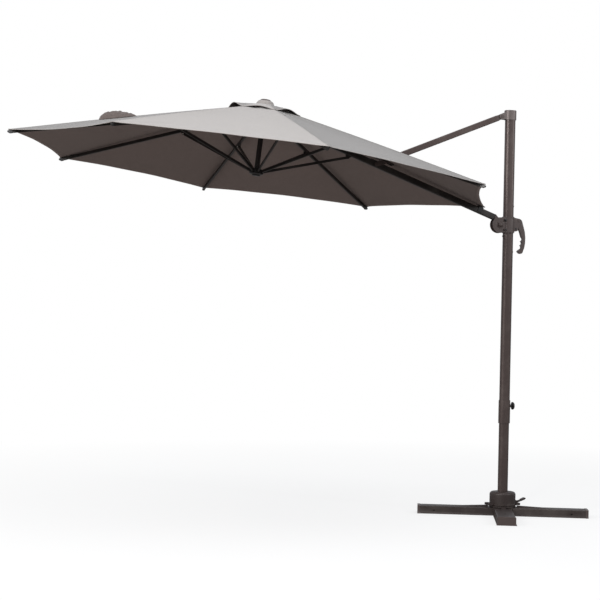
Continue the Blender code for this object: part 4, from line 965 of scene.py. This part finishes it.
def build_slider_rims(low, high):
    """Raised lips along the carriage's upper and lower edges, open where the boom enters."""
    section = [(-0.0004, 0.0), (0.0014, 0.0005), (0.0019, 0.0015), (0.0019, 0.0030), (0.0014, 0.0040),
               (-0.0004, 0.0045)]  # past the carriage's side, and up
    collected = empty_parts()
    for z in (low + 0.0030, high - 0.0075):
        rows = []
        for grow, rise in section:
            first = len(collected["verts"])
            outline = carriage_outline(grow, -160, 160)
            collected["verts"] += [Vector((spot.x, spot.y, z + rise)) for spot in outline]
            rows.append(range(first, first + len(outline)))
        for row, above in zip(rows, rows[1:] + rows[:1]):
            for j in range(len(row) - 1):
                collected["faces"].append([row[j], row[j + 1], above[j + 1], above[j]])
        for end in (0, -1):
            collected["faces"].append([row[end] for row in rows])
    hardware("slider_rims", collected, BROWN_PLASTIC, "slider")


def build_slider_hardware():
    """Washers and domed caps on the boom's pivot, and the screws that close the carriage."""
    low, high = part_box("slider_body")
    pivot = Vector(joints["slider_pivot"]["pos_m"])
    washers, caps, screws = empty_parts(), empty_parts(), empty_parts()
    for sign in (-1, 1):
        axis = Vector((0, sign, 0))
        ring = [(0.0172, 0.0), (0.0225, 0.0), (0.0232, 0.0006), (0.0232, 0.0022), (0.0222, 0.0030),
                (0.0182, 0.0030), (0.0172, 0.0022), (0.0172, 0.0)]
        lathe(washers, ring, pivot + axis * CHEEK_FACE, axis, 48)
        dome = [(0.0, -0.0010), (0.0148, -0.0010), (0.0148, 0.0014), (0.0140, 0.0038), (0.0116, 0.0064),
                (0.0078, 0.0081), (0.0040, 0.0088), (0.0, 0.0090)]
        lathe(caps, dome, pivot + axis * (BOLT_TOP - 0.0006), axis, 40)
        flank = sign * CARRIAGE_FLANK
        upper = (SCREW_X[0], flank, high[2] - 0.0230)
        boss = [(0.0, -0.012), (0.0082, -0.012), (0.0082, -0.0006), (0.0074, 0.0), (0.0, 0.0)]
        lathe(screws, boss, upper, axis, 24)
        screw_head(screws, upper, axis, 0.0062, 0.0028)
        screw_head(screws, (SCREW_X[0], flank, low[2] + 0.0219), axis, 0.0062, 0.0028)
        screw_head(screws, (SCREW_X[1], sign * 0.0170, low[2] + 0.030), axis, 0.0058, 0.0030)
    build_slider_rims(low[2], high[2])
    hardware("pivot_washers", washers, BROWN_PLASTIC, "slider")
    hardware("pivot_caps", caps, BROWN_PLASTIC, "slider")
    hardware("slider_screws", screws, BLACK_PLASTIC, "slider")


# ---------------------------------------------------------------- studio and camera
CAMERA_PLACE = (-4.0325, -9.4264, 1.2318)
CAMERA_YAW, CAMERA_PITCH, CAMERA_ROLL = (math.radians(a) for a in (15.81, 0.58, 1.26))
CAMERA_LENS = 96.05  # focal length and sensor width, millimetres
CAMERA_SENSOR = 36.0


def area_light(name, place, target, size, power, colour=(1, 1, 1)):
    lamp = bpy.data.lights.new(name, "AREA")
    lamp.shape = "RECTANGLE"
    lamp.size, lamp.size_y = size
    lamp.energy = power
    lamp.color = colour
    made = bpy.data.objects.new(name, lamp)
    bpy.context.scene.collection.objects.link(made)
    made.location = place
    made.rotation_euler = (Vector(target) - Vector(place)).to_track_quat("-Z", "Y").to_euler()


def seen_mix(tree, seen, bounced):
    """One shader for camera rays and another for light that bounces."""
    mix = tree.nodes.new("ShaderNodeMixShader")
    path = tree.nodes.new("ShaderNodeLightPath")
    tree.links.new(path.outputs["Is Camera Ray"], mix.inputs[0])
    tree.links.new(bounced.outputs[0], mix.inputs[1])
    tree.links.new(seen.outputs[0], mix.inputs[2])
    return mix


def build_floor():
    """Pale floor, lighter to the camera than to bounced light, that fades into the white backdrop."""
    mesh = bpy.data.meshes.new("floor")
    reach = 60.0
    corners = [(-reach, -reach, 0), (reach, -reach, 0), (reach, reach, 0), (-reach, reach, 0)]
    mesh.from_pydata(corners, [], [(0, 1, 2, 3)])
    floor = bpy.data.objects.new("floor", mesh)
    bpy.context.scene.collection.objects.link(floor)
    floor.location.z = -0.0005
    pale = Finish("floor_paint")
    soft = pale.ramp(pale.noise(0.7, 3.0), 0.3, 0.7, 0.90, 0.93)
    pale.shade(Base_Color=pale.grey(soft), Roughness=0.9, Specular_IOR_Level=0.1)
    dull = pale.node("ShaderNodeBsdfDiffuse", {"Color": (0.335, 0.32, 0.305)})
    white = pale.node("ShaderNodeEmission", {"Color": (1.0, 1.0, 1.0), "Strength": 1.0})
    place = pale.node("ShaderNodeNewGeometry").outputs["Position"]
    distance = pale.node("ShaderNodeVectorMath", {0: place}, operation="LENGTH").outputs["Value"]
    fade = pale.node("ShaderNodeMixShader", {0: pale.ramp(distance, 1.5, 6.0, 0.72, 1.0)})
    pale.tree.links.new(pale.shader.outputs[0], fade.inputs[1])
    pale.tree.links.new(white.outputs[0], fade.inputs[2])
    both = seen_mix(pale.tree, fade, dull)
    pale.tree.links.new(both.outputs[0], pale.tree.nodes["Material Output"].inputs[0])
    mesh.materials.append(pale.material)


def build_world():
    """White to the camera and a dim cool fill to everything else."""
    world = bpy.data.worlds.new("studio")
    bpy.context.scene.world = world
    world.use_nodes = True
    tree = world.node_tree
    tree.nodes.clear()
    fill = tree.nodes.new("ShaderNodeBackground")
    seen = tree.nodes.new("ShaderNodeBackground")
    fill.inputs[0].default_value = (0.92, 0.95, 1.0, 1)
    fill.inputs[1].default_value = 0.60
    seen.inputs[0].default_value = (1, 1, 1, 1)
    out = tree.nodes.new("ShaderNodeOutputWorld")
    tree.links.new(seen_mix(tree, seen, fill).outputs[0], out.inputs[0])


def build_lights():
    """A low broad key from the left, a soft top light and two strips that draw edges on the mast."""
    area_light("key", (-8.6, -4.4, 4.3), (-1.5, 0, 2.2), (2.6, 2.6), 420, (1.0, 0.98, 0.955))
    area_light("top", (-1.0, -2.0, 6.2), (-1.0, 0, 1.5), (4.0, 3.0), 80)
    area_light("left_strip", (-3.2, -5.0, 3.1), (0, 0, 2.1), (0.35, 1.6), 58)
    area_light("right_strip", (3.4, -4.0, 3.2), (0, 0, 2.2), (0.30, 1.6), 58)


def build_camera():
    """Camera at about eye height, to the left of the mast, looking slightly right."""
    ahead = Vector((math.sin(CAMERA_YAW), math.cos(CAMERA_YAW), 0))
    forward = ahead * math.cos(CAMERA_PITCH) + Vector((0, 0, math.sin(CAMERA_PITCH)))
    level = Vector((math.cos(CAMERA_YAW), -math.sin(CAMERA_YAW), 0))
    upright = level.cross(forward)
    right = level * math.cos(CAMERA_ROLL) + upright * math.sin(CAMERA_ROLL)
    up = upright * math.cos(CAMERA_ROLL) - level * math.sin(CAMERA_ROLL)
    lens = bpy.data.cameras.new("camera")
    lens.lens = CAMERA_LENS
    lens.sensor_width = CAMERA_SENSOR
    camera = bpy.data.objects.new("camera", lens)
    bpy.context.scene.collection.objects.link(camera)
    turn = Matrix((right, up, -forward)).transposed().to_4x4()
    camera.matrix_world = Matrix.Translation(CAMERA_PLACE) @ turn
    bpy.context.scene.camera = camera


finish_cad_nodes()
build_canopy()
build_vent()
build_slit_facing()
build_vent_crown()
build_raised_fold()
build_rivets()
build_slider_hardware()
build_floor()
build_world()
build_lights()
build_camera()
bpy.context.scene.view_settings.view_transform = "Standard"
